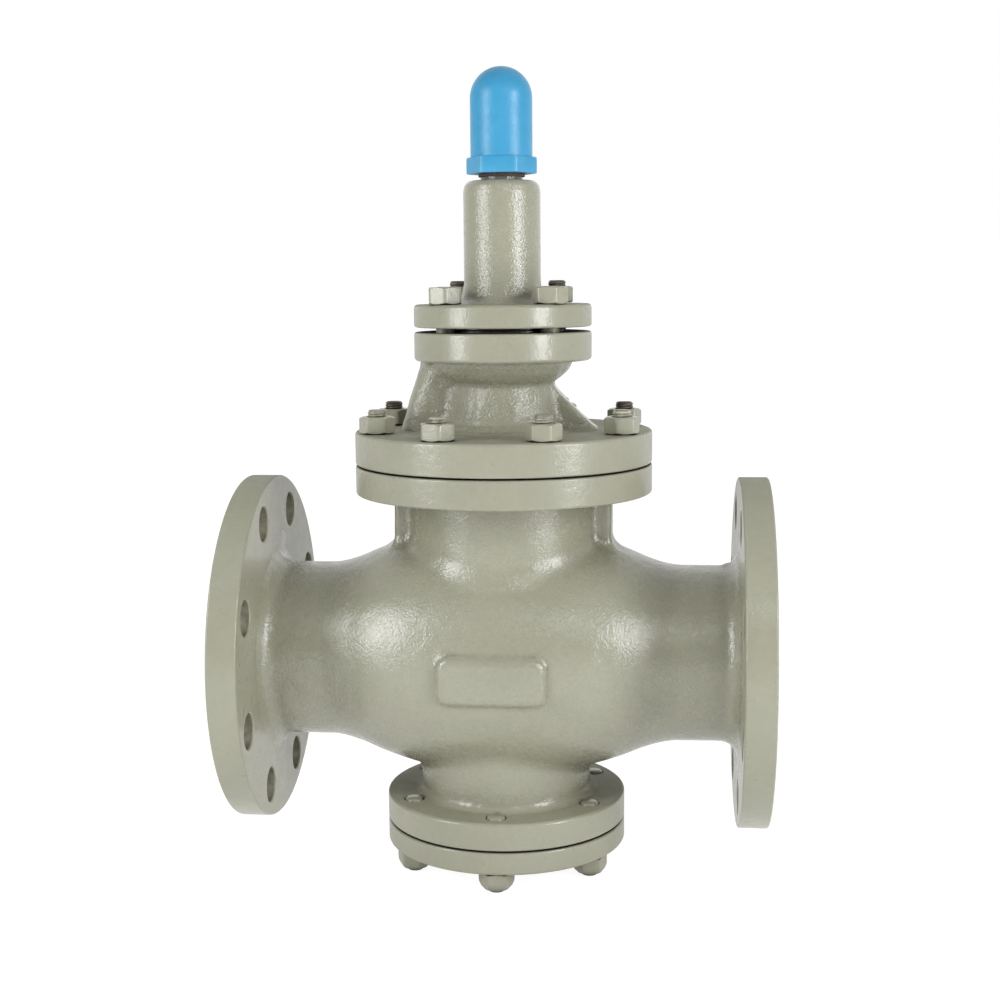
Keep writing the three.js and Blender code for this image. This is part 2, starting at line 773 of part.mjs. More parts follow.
function makeDiaphragm() {
  const bottom = BONNET_TOP_Z + REGISTER_H + GAP;
  const top = HOUSING_BASE_Z - REGISTER_H - GAP;
  return cylinder(REGISTER_R - 0.5, bottom, top, ROUND);
}

// ---------------------------------------------------------------------------------------
// Spring housing and the adjusting gear

function makeSpringHousing() {
  const registerZ = HOUSING_BASE_Z - REGISTER_H;
  const flangeTop = HOUSING_BASE_Z + HOUSING_FLANGE_T;
  const chamberTop = 366;
  const boreTop = 436;
  const housing = turned([
    [DIAPHRAGM_CHAMBER_R, registerZ],
    [REGISTER_R, registerZ],
    [REGISTER_R, HOUSING_BASE_Z],
    [HOUSING_FLANGE_R, HOUSING_BASE_Z],
    [HOUSING_FLANGE_R, flangeTop],
    [HOUSING_R + 9, flangeTop],
    [HOUSING_R + 4, flangeTop + 2.5],
    [HOUSING_R + 1.5, flangeTop + 6.5],
    [HOUSING_R, flangeTop + 14],
    [HOUSING_R, HOUSING_SHOULDER_Z - 6],
    [HOUSING_R - 0.8, HOUSING_SHOULDER_Z - 3],
    [HOUSING_R - 2.8, HOUSING_SHOULDER_Z - 0.9],
    [HOUSING_R - 5.6, HOUSING_SHOULDER_Z],
    [SPIGOT_R, HOUSING_SHOULDER_Z],
    [SPIGOT_R, SPIGOT_TOP_Z],
    [TAPPED_R, SPIGOT_TOP_Z],
    [TAPPED_R, boreTop + 4],
    [HOUSING_BORE_R, boreTop],
    [HOUSING_BORE_R, chamberTop],
    [DIAPHRAGM_CHAMBER_R, chamberTop],
  ], FINE);
  const holes = boltHoles(
    HOUSING_STUD_CIRCLE_R,
    HOUSING_STUD_COUNT,
    CLEARANCE_R,
    HOUSING_BASE_Z - 1,
    flangeTop + 1,
  );
  return housing.subtract(holes);
}

function makeLowerSpringSeat() {
  const bottom = HOUSING_BASE_Z - REGISTER_H;
  return turned([
    [0, bottom],
    [LOWER_SEAT_R, bottom],
    [LOWER_SEAT_R, LOWER_SEAT_TOP_Z - 1.5],
    [HOUSING_BORE_R - 1, LOWER_SEAT_TOP_Z],
    [SPRING_GUIDE_R, LOWER_SEAT_TOP_Z],
    [SPRING_GUIDE_R, LOWER_SEAT_TOP_Z + 8],
    [SPRING_GUIDE_R - 2, LOWER_SEAT_TOP_Z + 10],
    [0, LOWER_SEAT_TOP_Z + 10],
  ], COARSE);
}

function makeUpperSpringSeat() {
  return turned([
    [0, UPPER_SEAT_Z - 6],
    [SPRING_GUIDE_R - 1, UPPER_SEAT_Z - 6],
    [SPRING_GUIDE_R, UPPER_SEAT_Z - 4],
    [SPRING_GUIDE_R, UPPER_SEAT_Z],
    [UPPER_SEAT_R, UPPER_SEAT_Z],
    [UPPER_SEAT_R, UPPER_SEAT_Z + 3],
    [SPRING_GUIDE_R, SCREW_BOTTOM_Z - GAP],
    [0, SCREW_BOTTOM_Z - GAP],
  ], COARSE);
}

function makeAdjustingScrew() {
  const squareBottom = SCREW_TOP_Z - SCREW_SQUARE_H;
  const shank = turned([
    [0, SCREW_BOTTOM_Z],
    [STUD_R - 1.5, SCREW_BOTTOM_Z],
    [STUD_R, SCREW_BOTTOM_Z + 1.5],
    [STUD_R, squareBottom],
    [0, squareBottom],
  ], SMALL);
  const height = SCREW_SQUARE_H + 2;
  const square = block([SCREW_SQUARE, SCREW_SQUARE, height], [0, 0, SCREW_TOP_Z - height / 2]);
  return shank.add(square);
}

function makeCap() {
  const domeSteps = 5;
  const dome = (radius, centreZ) => {
    const arc = [];
    for (let i = 0; i <= domeSteps; i += 1) {
      const angle = i * Math.PI / 2 / domeSteps;
      arc.push([i === domeSteps ? 0 : radius * Math.cos(angle), centreZ + radius * Math.sin(angle)]);
    }
    return arc;
  };
  const shell = turned([[0, CAP_BASE_Z], [CAP_R, CAP_BASE_Z], ...dome(CAP_R, CAP_DOME_Z)], COARSE);
  const hex = hexagon(CAP_FLATS, CAP_BASE_Z, CAP_BASE_Z + CAP_HEX_H);
  const hollow = turned([
    [0, CAP_BASE_Z - 1],
    [SPIGOT_R + GAP, CAP_BASE_Z - 1],
    [SPIGOT_R + GAP, SPIGOT_TOP_Z],
    [CAP_BORE_R, SPIGOT_TOP_Z + 2],
    ...dome(CAP_BORE_R, CAP_DOME_Z - 2),
  ], COARSE);
  return shell.add(hex).subtract(hollow);
}

// ---------------------------------------------------------------------------------------
// Fasteners

function makeStud(bottom, top) {
  return turned([
    [0, bottom],
    [STUD_R - STUD_CHAMFER, bottom],
    [STUD_R, bottom + STUD_CHAMFER],
    [STUD_R, top - STUD_CHAMFER],
    [STUD_R - STUD_CHAMFER, top],
    [0, top],
  ], SMALL);
}

// Hexagon nut with its corners turned down at both ends.
function makeNut(flats, bottom, height) {
  const corner = flats / Math.sqrt(3);
  const slope = 1.2;
  const top = bottom + height;
  const turnedDown = turned([
    [0, bottom],
    [flats / 2, bottom],
    [corner, bottom + slope],
    [corner, top - slope],
    [flats / 2, top],
    [0, top],
  ], NUT_FACETS);
  const hole = cylinder(TAPPED_R, bottom - 1, top + 1, NUT_FACETS);
  return hexagon(flats, bottom, top).intersect(turnedDown).subtract(hole);
}

// ---------------------------------------------------------------------------------------
// Assembly

const valve = new THREE.Group();

function place(name, shape, material, x = 0, y = 0) {
  const geometry = shape.isBufferGeometry ? shape : geometryOf(shape);
  const mesh = new THREE.Mesh(geometry, material);
  mesh.name = name;
  mesh.position.set(x, y, 0);
  valve.add(mesh);
  return mesh;
}

// One ring of studs with a nut on each, every nut turned its own way.
function placeFasteners(label, radius, count, stud, nut, material) {
  const studGeometry = geometryOf(stud);
  const nutGeometry = geometryOf(nut);
  for (let i = 0; i < count; i += 1) {
    const [x, y] = onCircle(radius, straddled(i, count));
    place(`${label}_stud_${i + 1}`, studGeometry, material, x, y);
    const mesh = place(`${label}_nut_${i + 1}`, nutGeometry, PAINT, x, y);
    mesh.rotation.z = THREE.MathUtils.degToRad(Math.floor(i * NUT_STEP_DEGREES / 30) * 30);
  }
}

place('body', makeBody(), PAINT);
place('bottom_cover', makeBottomCover(), PAINT);
place(
  'bottom_gasket',
  ring(BOTTOM_BORE_R + 1, BOTTOM_GASKET_OUTER_R, COVER_TOP_Z + GAP, BODY_BOTTOM_Z - GAP),
  GRAPHITE,
);
place('seat_ring', makeSeatRing(), STAINLESS);
place('cylinder_liner', makeLiner(), STAINLESS);
place('main_disc', makeMainDisc(), STAINLESS);
place(
  'main_spring',
  coil(MAIN_SPRING, COVER_SPIGOT_TOP_Z + GAP, SEAT_BOTTOM_Z - DISC_T - 2 * GAP),
  SPRING_STEEL,
);
place('piston', makePiston(), STAINLESS);
place('piston_ring_1', makePistonRing(RING_BOTTOMS_Z[0], 0), RING_IRON);
place('piston_ring_2', makePistonRing(RING_BOTTOMS_Z[1], 180), RING_IRON);

place('bonnet', makeBonnet(), PAINT);
place('bonnet_gasket', makeBonnetGasket(), GRAPHITE);
place('pilot_seat', makePilotSeat(), STAINLESS);
place('pilot_valve', makePilotValve(), STAINLESS);
place(
  'pilot_spring',
  coil(PILOT_SPRING, PILOT_CHAMBER_FLOOR_Z + GAP, PILOT_COLLAR_Z - GAP),
  SPRING_STEEL,
);
place('diaphragm', makeDiaphragm(), STAINLESS);

place('spring_housing', makeSpringHousing(), PAINT);
place('lower_spring_seat', makeLowerSpringSeat(), DARK_STEEL);
place(
  'adjusting_spring',
  coil(ADJUSTING_SPRING, LOWER_SEAT_TOP_Z + GAP, UPPER_SEAT_Z - GAP),
  SPRING_STEEL,
);
place('upper_spring_seat', makeUpperSpringSeat(), DARK_STEEL);
place('adjusting_screw', makeAdjustingScrew(), DARK_STEEL);
place('lock_nut', makeNut(LOCK_NUT_FLATS, SPIGOT_TOP_Z + GAP, LOCK_NUT_H), DARK_STEEL);
place(
  'cap_seal',
  ring(SPIGOT_R + GAP, CAP_SEAL_R, CAP_BASE_Z - GAP - CAP_SEAL_H, CAP_BASE_Z - GAP, COARSE),
  RED_FIBRE,
);
place('cap', makeCap(), CAP_BLUE);

placeFasteners(
  'bonnet',
  BONNET_STUD_CIRCLE_R,
  BONNET_STUD_COUNT,
  makeStud(BONNET_STUD_BOTTOM_Z, BONNET_STUD_TOP_Z),
  makeNut(NUT_FLATS, BONNET_BASE_Z + BONNET_FLANGE_T + GAP, NUT_H),
  DARK_STEEL,
);
placeFasteners(
  'housing',
  HOUSING_STUD_CIRCLE_R,
  HOUSING_STUD_COUNT,
  makeStud(HOUSING_STUD_BOTTOM_Z, HOUSING_STUD_TOP_Z),
  makeNut(NUT_FLATS, HOUSING_BASE_Z + HOUSING_FLANGE_T + GAP, NUT_H),
  DARK_STEEL,
);
placeFasteners(
  'bottom',
  BOTTOM_STUD_CIRCLE_R,
  BOTTOM_STUD_COUNT,
  makeStud(0, BODY_BOTTOM_Z + BODY_BOTTOM_FLANGE_T + BOTTOM_STUD_PROUD),
  makeNut(NUT_FLATS, COVER_BASE_Z - GAP - BOTTOM_NUT_H, BOTTOM_NUT_H),
  PAINT,
);

export default valve;
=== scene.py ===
"""The looks of the pressure reducing valve: finely modelled stand-ins for its CAD nodes,
procedural materials, soft studio light and a camera. Shapes are worked out in millimetres,
in the CAD frame, and turned into metres as each mesh is made."""

import json
import math

import bpy
import numpy as np
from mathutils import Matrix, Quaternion, Vector

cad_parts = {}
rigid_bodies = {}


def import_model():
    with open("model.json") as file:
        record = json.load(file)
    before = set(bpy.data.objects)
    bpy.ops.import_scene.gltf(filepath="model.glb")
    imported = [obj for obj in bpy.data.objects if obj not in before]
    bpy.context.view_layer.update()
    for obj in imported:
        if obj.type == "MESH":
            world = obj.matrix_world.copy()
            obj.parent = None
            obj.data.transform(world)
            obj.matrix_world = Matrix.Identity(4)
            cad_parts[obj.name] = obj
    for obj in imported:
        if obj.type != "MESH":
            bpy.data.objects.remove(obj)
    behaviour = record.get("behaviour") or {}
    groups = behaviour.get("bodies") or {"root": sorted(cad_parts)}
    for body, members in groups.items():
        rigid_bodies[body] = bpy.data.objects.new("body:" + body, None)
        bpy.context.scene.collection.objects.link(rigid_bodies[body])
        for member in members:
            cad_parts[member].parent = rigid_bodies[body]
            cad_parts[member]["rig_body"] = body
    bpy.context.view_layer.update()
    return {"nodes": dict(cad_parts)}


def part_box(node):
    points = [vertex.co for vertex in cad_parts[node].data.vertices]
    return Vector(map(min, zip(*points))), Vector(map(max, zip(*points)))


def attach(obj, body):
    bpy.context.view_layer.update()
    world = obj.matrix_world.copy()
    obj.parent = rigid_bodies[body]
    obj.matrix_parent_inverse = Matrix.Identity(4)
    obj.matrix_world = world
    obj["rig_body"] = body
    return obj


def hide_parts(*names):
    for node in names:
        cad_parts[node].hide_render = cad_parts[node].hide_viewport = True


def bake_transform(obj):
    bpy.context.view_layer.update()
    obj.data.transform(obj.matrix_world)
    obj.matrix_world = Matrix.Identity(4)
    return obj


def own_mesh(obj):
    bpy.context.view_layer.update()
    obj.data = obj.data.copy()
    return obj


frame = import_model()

MM = 0.001


# ---------- Measurements taken from the CAD nodes, in millimetres


def measured(node):
    lo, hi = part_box(node)
    return np.array(lo) / MM, np.array(hi) / MM


def radius_of(node):
    lo, hi = measured(node)
    return (hi[0] - lo[0]) / 2


def levels(node):
    lo, hi = measured(node)
    return lo[2], hi[2]


def centre_of(node):
    lo, hi = measured(node)
    return (lo + hi) / 2


body_lo, body_hi = measured("body")
FACE_X = body_hi[0]
PIPE_FLANGE_R = body_hi[1]
PIPE_Z = body_lo[2] + PIPE_FLANGE_R
BODY_TOP_Z = body_hi[2]
bonnet_lo, bonnet_hi = measured("bonnet")
BONNET_BASE_Z = bonnet_lo[2]
BONNET_FLANGE_R = bonnet_hi[0]
REGISTER_H = 1.0
BONNET_TOP_Z = bonnet_hi[2] - REGISTER_H
housing_lo, housing_hi = measured("spring_housing")
HOUSING_BASE_Z = housing_lo[2] + REGISTER_H
HOUSING_FLANGE_R = housing_hi[0]
SPIGOT_TOP_Z = housing_hi[2]
cover_lo, cover_hi = measured("bottom_cover")
COVER_BASE_Z = cover_lo[2]
BOTTOM_FLANGE_R = cover_hi[0]

# pipe flanges
PIPE_FLANGE_T = 21
RAISED_FACE_R = 80
RAISED_FACE_H = 1.5
BOLT_CIRCLE_R = 95
BOLT_HOLE_R = 11.5
BORE_R = 50
PASSAGE_R = 47
PASSAGE_START = 60

# cast body; a foot is a disc hidden in a flange, into which the neck flares
GLOBE = np.array([144.3, 82.8, 82.8])
GLOBE_CENTRE = np.array([0, 0, PIPE_Z - 0.8])
WALL = 11
NECK_R = 58
NECK_DROP = 1.5
TOP_NECK_R = 61
RIB_X = 71.7
RIB_HALF = 15
BODY_TOP_FLANGE_T = 18.6
BODY_BOTTOM_Z = 30.2
BODY_BOTTOM_FLANGE_T = 17.9
BOTTOM_NECK_R = 57
PIPE_FOOT_R = 80
TOP_FOOT_R = 79
BOTTOM_FOOT_R = 66
FOOT_GAP = 0.05
RIB_DROP = 66
CAST_MIDDLE_Z = 150
CAST_HALF_H = 110
PAD_X = -1.2
PAD_Y = -85
PAD_DROP = 3.3
PAD_HALF_X = 31.5
PAD_HALF_Z = 12.6
PAD_EDGE = 3.5
SEAT_HOLE_R = 43.3
LINER_HOLE_R = 49.3
LINER_LIP_R = 54.3
LINER_LIP_T = 7.1
LINER_HOLE_Z = 185
LOWER_HOLE_R = 46
LOWER_HOLE_TOP_Z = 82.4
BONNET_STUD_END_Z = 253.2
BOTTOM_STUD_END_Z = 48.1

# bonnet, spring housing and cover
DUCT_FOOT_X = -55.5
DUCT_HEAD_X = -40.0
DUCT_R = 13
DUCT_MIDDLE_Z = 314
DUCT_HALF_H = 29
GUSSET_HALF_T = 8
PISTON_ROOM_R = 36
PISTON_ROOM_TOP_Z = 277
PILOT_HOLE_R = 9
PILOT_HOLE_Z = 296
PILOT_SEAT_HOLE_R = 12.3
PILOT_SEAT_HOLE_Z = 326
DIAPHRAGM_ROOM_R = 30
DIAPHRAGM_ROOM_Z = 350.5
BONNET_FLANGE_T = 21.1
BONNET_TOP_FLANGE_T = 18.7
HOUSING_FLANGE_T = 14.7
COVER_TOP_Z = 29
REGISTER_R = 39.5
STUD_CLEARANCE_R = 6.8
STUD_TAPPED_R = 6.3
BONNET_STUD_CIRCLE_R = 85
HOUSING_STUD_CIRCLE_R = 47
BOTTOM_STUD_CIRCLE_R = 67

# hexagons, and steps around the round shapes
NUT_FLATS = 20.6
NUT_HOLE_R = 6.25
CAP_FLATS = 40.2
ROUND_STEPS = 128
BORE_STEPS = 96
HOLE_STEPS = 40
NUT_STEPS = 72
CAP_STEPS = 144


# ---------- Meshes


def new_mesh(name, points, faces, sharp_degrees=35):
    mesh = bpy.data.meshes.new(name)
    mesh.from_pydata((np.asarray(points) * MM).tolist(), [], faces)
    mesh.validate()
    mesh.shade_smooth()
    mesh.set_sharp_from_angle(angle=math.radians(sharp_degrees))
    return mesh


def new_object(name, mesh, location=(0, 0, 0), weighted=True):
    obj = bpy.data.objects.new(name, mesh)
    bpy.context.scene.collection.objects.link(obj)
    obj.location = Vector(location) * MM
    if weighted:
        normals = obj.modifiers.new("Weighted normals", "WEIGHTED_NORMAL")
        normals.keep_sharp = True
    return obj


def rounded(outline, closed=False):
    """An outline of (a, b) or (a, b, radius) points with the given corners rounded."""
    points = [(*p, 0)[:3] for p in outline]
    result = []
    count = len(points)
    for i, (a, b, radius) in enumerate(points):
        if radius == 0 or (not closed and i in (0, count - 1)):
            result.append((a, b))
            continue
        here = np.array([a, b], float)
        before = np.array(points[i - 1][:2], float) - here
        after = np.array(points[(i + 1) % count][:2], float) - here
        reach = min(np.linalg.norm(before), np.linalg.norm(after)) * 0.499
        before /= np.linalg.norm(before)
        after /= np.linalg.norm(after)
        half = math.acos(np.clip(before @ after, -1, 1)) / 2
        if half > math.radians(89.9):
            result.append((a, b))
            continue
        radius = min(radius, reach * math.tan(half))
        middle = (before + after) / np.linalg.norm(before + after)
        centre = here + middle * radius / math.sin(half)
        start = here + before * radius / math.tan(half) - centre
        end = here + after * radius / math.tan(half) - centre
        sweep = math.pi - 2 * half
        steps = max(2, math.ceil(sweep / math.radians(15)))
        for k in range(steps + 1):
            t = k / steps
            point = (start * math.sin((1 - t) * sweep) + end * math.sin(t * sweep)) / math.sin(sweep)
            result.append(tuple(centre + point))
    return result


def skin(rows, closed):
    """Faces over rows of points of equal length; a row of one point is a pole."""
    points = []
    starts = []
    for row in rows:
        starts.append(len(points))
        points.extend(row)
    faces = []
    for lower in range(len(rows) if closed else len(rows) - 1):
        upper = (lower + 1) % len(rows)
        a, b = starts[lower], starts[upper]
        low, high = len(rows[lower]), len(rows[upper])
        count = max(low, high)
        for i in range(count):
            j = (i + 1) % count
            if low == 1:
                faces.append((a, b + j, b + i))
            elif high == 1:
                faces.append((a + i, a + j, b))
            else:
                faces.append((a + i, a + j, b + j, b + i))
    return points, faces


def capped(rows):
    """Faces over rows of points whose ends are closed by a point in their middle."""
    first, last = (tuple(np.mean(row, axis=0).tolist()) for row in (rows[0], rows[-1]))
    return skin([[first], *rows, [last]], False)


def lathe(outline, steps=ROUND_STEPS, radius_at=None):
    """A closed solid turned about Z from (r, z[, corner radius]) points, counterclockwise.
    radius_at(r, angles) may give each turned point its own radius."""
    closed = outline[0][0] > 0
    angles = np.arange(steps) * 2 * math.pi / steps
    rows = []
    for r, z in rounded(outline, closed):
        if r < 1e-6:
            rows.append([(0.0, 0.0, z)])
            continue
        radii = np.full(steps, float(r)) if radius_at is None else radius_at(r, angles)
        rows.append([(q * math.cos(a), q * math.sin(a), z) for q, a in zip(radii, angles)])
    return skin(rows, closed)


def disc(radius, bottom, top, lower_edge=0, upper_edge=0, steps=ROUND_STEPS):
    outline = [(0, bottom), (radius, bottom, lower_edge), (radius, top, upper_edge), (0, top)]
    return lathe(outline, steps)


def along_pipe(shape):
    """A shape turned about Z laid along the pipes: heights become distances along +X."""
    points, faces = shape
    p = np.asarray(points)
    return np.stack([p[:, 2], p[:, 1], PIPE_Z - p[:, 0]], 1), faces


def moved(shape, x=0, y=0, z=0):
    points, faces = shape
    return np.asarray(points) + np.array([x, y, z]), faces


def half_turned(shape):
    points, faces = shape
    return np.asarray(points) * np.array([-1, -1, 1]), faces


def joined(shapes):
    points, faces = [], []
    for shape_points, shape_faces in shapes:
        start = len(points)
        points.extend(np.asarray(shape_points).tolist())
        faces.extend(tuple(i + start for i in face) for face in shape_faces)
    return points, faces


def on_circle(radius, count, start=0.5):
    for i in range(count):
        angle = (i + start) * 2 * math.pi / count
        yield radius * math.cos(angle), radius * math.sin(angle)


def combine(name, base, steps, sharp_degrees=35):
    """base with shapes joined to it or cut from it: steps are ("UNION" or "DIFFERENCE", shape)."""
    obj = new_object(name, new_mesh(name, *base), weighted=False)
    helpers = []
    for operation, shape in steps:
        helper = new_object("cutter", new_mesh("cutter", *shape), weighted=False)
        modifier = obj.modifiers.new(operation, "BOOLEAN")
        modifier.operation = operation
        modifier.object = helper
        modifier.solver = "MANIFOLD"
        helpers.append(helper)
    graph = bpy.context.evaluated_depsgraph_get()
    mesh = bpy.data.meshes.new_from_object(obj.evaluated_get(graph))
    for helper in helpers:
        bpy.data.objects.remove(helper)
    bpy.data.objects.remove(obj)
    mesh.name = name
    mesh.shade_smooth()
    mesh.set_sharp_from_angle(angle=math.radians(sharp_degrees))
    return new_object(name, mesh)


# ---------- Distance fields for the castings: negative inside, in millimetres


def ellipsoid(p, centre, radii):
    q = (p - centre) / radii
    k0 = np.linalg.norm(q, axis=1)
    k1 = np.linalg.norm(q / radii, axis=1)
    return k0 * (k0 - 1) / np.maximum(k1, 1e-9)


def outline_distance(a, b, outline):
    """Distance to a closed outline of (a, b) points, negative inside it."""
    nearest = np.full(a.shape, 1e18)
    inside = np.zeros(a.shape, bool)
    for (a0, b0), (a1, b1) in zip(outline, outline[1:] + outline[:1]):
        da, db = a1 - a0, b1 - b0
        t = np.clip(((a - a0) * da + (b - b0) * db) / (da * da + db * db), 0, 1)
        nearest = np.minimum(nearest, (a - a0 - t * da) ** 2 + (b - b0 - t * db) ** 2)
        if db != 0:
            crosses = (b0 > b) != (b1 > b)
            inside ^= crosses & (a < a0 + (b - b0) / db * da)
    return np.where(inside, -1, 1) * np.sqrt(nearest)


def fillet(a, b, radius):
    u = np.maximum(radius - a, 0)
    v = np.maximum(radius - b, 0)
    return np.maximum(radius, np.minimum(a, b)) - np.sqrt(u * u + v * v)


def meet(a, b, radius):
    """The part inside both a and b, its edge rounded."""
    return -fillet(-a, -b, radius)


def ripple(p, seed, amplitude, shortest, longest, waves=28):
    """The gentle unevenness of a sand casting."""
    rng = np.random.default_rng(seed)
    total = np.zeros(len(p))
    for _ in range(waves):
        direction = rng.normal(size=3)
        direction /= np.linalg.norm(direction)
        length = shortest * (longest / shortest) ** rng.random()
        weight = (length / longest) ** 0.6
        phase = rng.random() * 2 * math.pi
        total += weight * np.sin(p @ direction * 2 * math.pi / length + phase)
    return total * amplitude / math.sqrt(waves / 2)


def surface_of(field, lo, hi, step, cast):
    """A smooth closed mesh of quads over a field's zero surface, uneven as ripple(*cast) says."""
    axes = [np.arange(a, b + step, step) for a, b in zip(lo, hi)]
    grid = np.stack(np.meshgrid(*axes, indexing="ij"), -1)
    values = field(grid.reshape(-1, 3)).reshape(grid.shape[:3])
    inside = values < 0
    cells = tuple(n - 1 for n in values.shape)
    total = np.zeros((*cells, 3))
    count = np.zeros(cells)
    crossings = []
    for axis in range(3):
        first, second = (
            tuple(part if i == axis else slice(None) for i in range(3))
            for part in (slice(0, -1), slice(1, None))
        )
        a, b = values[first], values[second]
        crossing = inside[first] != inside[second]
        share = np.where(crossing, a / np.where(a == b, 1, a - b), 0)
        point = grid[first].copy()
        point[..., axis] += share * step
        point *= crossing[..., None]
        others = [i for i in range(3) if i != axis]
        for s in (0, 1):
            for t in (0, 1):
                part = [slice(None)] * 3
                part[others[0]] = slice(s, cells[others[0]] + s)
                part[others[1]] = slice(t, cells[others[1]] + t)
                total += point[tuple(part)]
                count += crossing[tuple(part)]
        crossings.append((crossing, inside[first], others))
    index = np.full(cells, -1)
    used = count > 0
    index[used] = np.arange(used.sum())
    points = total[used] / count[used][:, None]
    faces = []
    for axis, (crossing, starts_inside, others) in enumerate(crossings):
        where = np.argwhere(crossing)
        sides = np.array([cells[others[0]], cells[others[1]]])
        around = where[:, others]
        where = where[((around > 0) & (around < sides)).all(1)]
        ring = []
        for s, t in ((0, 0), (1, 0), (1, 1), (0, 1)):
            cell = where.copy()
            cell[:, others[0]] -= 1 - s
            cell[:, others[1]] -= 1 - t
            ring.append(index[tuple(cell.T)])
        ring = np.stack(ring, 1)
        outward = starts_inside[tuple(where.T)] ^ (axis == 1)
        ring[~outward] = ring[~outward][:, ::-1]
        faces.append(ring)
    return settle(field, points, step, cast), np.concatenate(faces).tolist()


def settle(field, points, step, cast):
    """Moves points onto the field's zero surface, made uneven."""

    def height(p):
        return field(p) - ripple(p, *cast)

    reach = 0.05
    for _ in range(4):
        value = height(points)
        slope = np.zeros_like(points)
        for axis in range(3):
            offset = np.zeros(3)
            offset[axis] = reach
            slope[:, axis] = (height(points + offset) - height(points - offset)) / (2 * reach)
        size = np.maximum((slope**2).sum(1), 0.1)
        shift = slope * np.clip(value / size, -step / 2, step / 2)[:, None]
        points = points - shift
    return points


# ---------- Body casting


def partition_outline(reach):
    """The inlet side of the S-shaped partition, as an X-Z outline about the pipe axis."""
    half = 6
    plate_x = 54
    corner = plate_x + 8
    slope_x, slope_z = 34, 62
    return [
        (plate_x, -half), (-corner, -half), (-corner - 8, half),
        (-corner - 8 - slope_x, half + slope_z), (-reach, half + slope_z),
        (-reach, -reach / 2), (plate_x + slope_x, -reach / 2), (plate_x + slope_x, -half - slope_z),
    ]


def body_field(p):
    """The hollow body between its flanges."""
    x, y, z = p.T
    rise = z - PIPE_Z
    flange_back = FACE_X - PIPE_FLANGE_T + FOOT_GAP
    shape = ellipsoid(p, GLOBE_CENTRE, GLOBE)
    neck = np.hypot(y, rise + NECK_DROP) - NECK_R
    shape = fillet(shape, neck, 7)
    foot = np.maximum(np.hypot(y, rise) - PIPE_FOOT_R, flange_back - np.abs(x))
    shape = fillet(shape, foot, 11)
    top_flange = BODY_TOP_Z - BODY_TOP_FLANGE_T
    rib = meet(np.abs(x) - RIB_X, np.abs(y) - RIB_HALF, 3)
    rib = np.maximum(rib, top_flange - RIB_DROP - z)
    radial = np.hypot(x, y)
    neck = np.maximum(radial - TOP_NECK_R, PIPE_Z - z)
    shape = fillet(shape, fillet(neck, rib, 5), 7)
    shape = fillet(shape, np.maximum(radial - TOP_FOOT_R, top_flange + FOOT_GAP - z), 4)
    bottom_flange = BODY_BOTTOM_Z + BODY_BOTTOM_FLANGE_T
    neck = np.maximum(radial - BOTTOM_NECK_R, z - PIPE_Z)
    shape = fillet(shape, neck, 5)
    shape = fillet(shape, np.maximum(radial - BOTTOM_FOOT_R, z - bottom_flange + FOOT_GAP), 6)
    shape = fillet(shape, pad_field(x, y, rise), 1) - parting_line(x, y, rise)
    limits = np.maximum(np.abs(x) - FACE_X + 15, np.abs(z - CAST_MIDDLE_Z) - CAST_HALF_H)
    shape = np.maximum(shape, limits)
    return np.maximum(shape, -hollow_field(p))


def parting_line(x, y, rise):
    """The mould's seam along the necks, with a snag where it meets each flange."""
    out = np.abs(x)
    start, end = 76, 146
    seam = 0.35 * np.exp(-((y / 1.1) ** 2)) * (out > start) * (np.abs(rise) < 75)
    top = rise - NECK_R - 3
    snag = 1.6 * np.exp(-(((out - end) / 3.2) ** 2) - (y / 4) ** 2 - (top / 6) ** 2)
    foot = 1.2 * np.exp(-(((out - start) / 4) ** 2) - (y / 6) ** 2 - ((rise - 73) / 5) ** 2)
    return seam + snag + foot


def pad_field(x, y, rise):
    corner = 6
    qx = np.abs(x - PAD_X) - PAD_HALF_X + corner
    qz = np.abs(rise + PAD_DROP) - PAD_HALF_Z + corner
    outline = np.hypot(np.maximum(qx, 0), np.maximum(qz, 0))
    outline = outline + np.minimum(np.maximum(qx, qz), 0) - corner
    depth = y - PAD_Y
    sloped = (outline - depth) / math.sqrt(2)
    return meet(np.maximum(sloped, outline - PAD_EDGE), -depth, 1.2) + np.maximum(depth - 20, 0)


def hollow_field(p):
    x, y, z = p.T
    rise = z - PIPE_Z
    hollow = ellipsoid(p, GLOBE_CENTRE, GLOBE - WALL)
    length = FACE_X + 1 - PASSAGE_START
    along = np.abs(x)
    sunk = NECK_DROP * (FACE_X - along) / length
    radius = PASSAGE_R + (BORE_R - PASSAGE_R) * (along - PASSAGE_START) / length
    passage = np.maximum(np.hypot(y, rise + sunk) - radius, PASSAGE_START - along)
    hollow = fillet(hollow, passage, 6)
    outline = partition_outline(FACE_X + 5)
    inlet = outline_distance(x, rise, outline)
    outlet = outline_distance(-x, -rise, outline)
    return meet(hollow, np.minimum(inlet, outlet), 3)


def pipe_flange():
    """Disc with a serrated raised face, at the +X end."""
    back = FACE_X - PIPE_FLANGE_T
    shoulder = FACE_X - RAISED_FACE_H
    serrations = []
    for r in np.arange(RAISED_FACE_R - 2.5, BORE_R + 3, -1.8):
        serrations += [(r, FACE_X), (r - 0.6, FACE_X - 0.3), (r - 1.2, FACE_X)]
    return along_pipe(lathe([
        (0, back), (PIPE_FLANGE_R, back, 1.3), (PIPE_FLANGE_R, shoulder, 1.3),
        (RAISED_FACE_R, shoulder, 0.8), (RAISED_FACE_R, FACE_X, 0.4), *serrations, (0, FACE_X),
    ]))


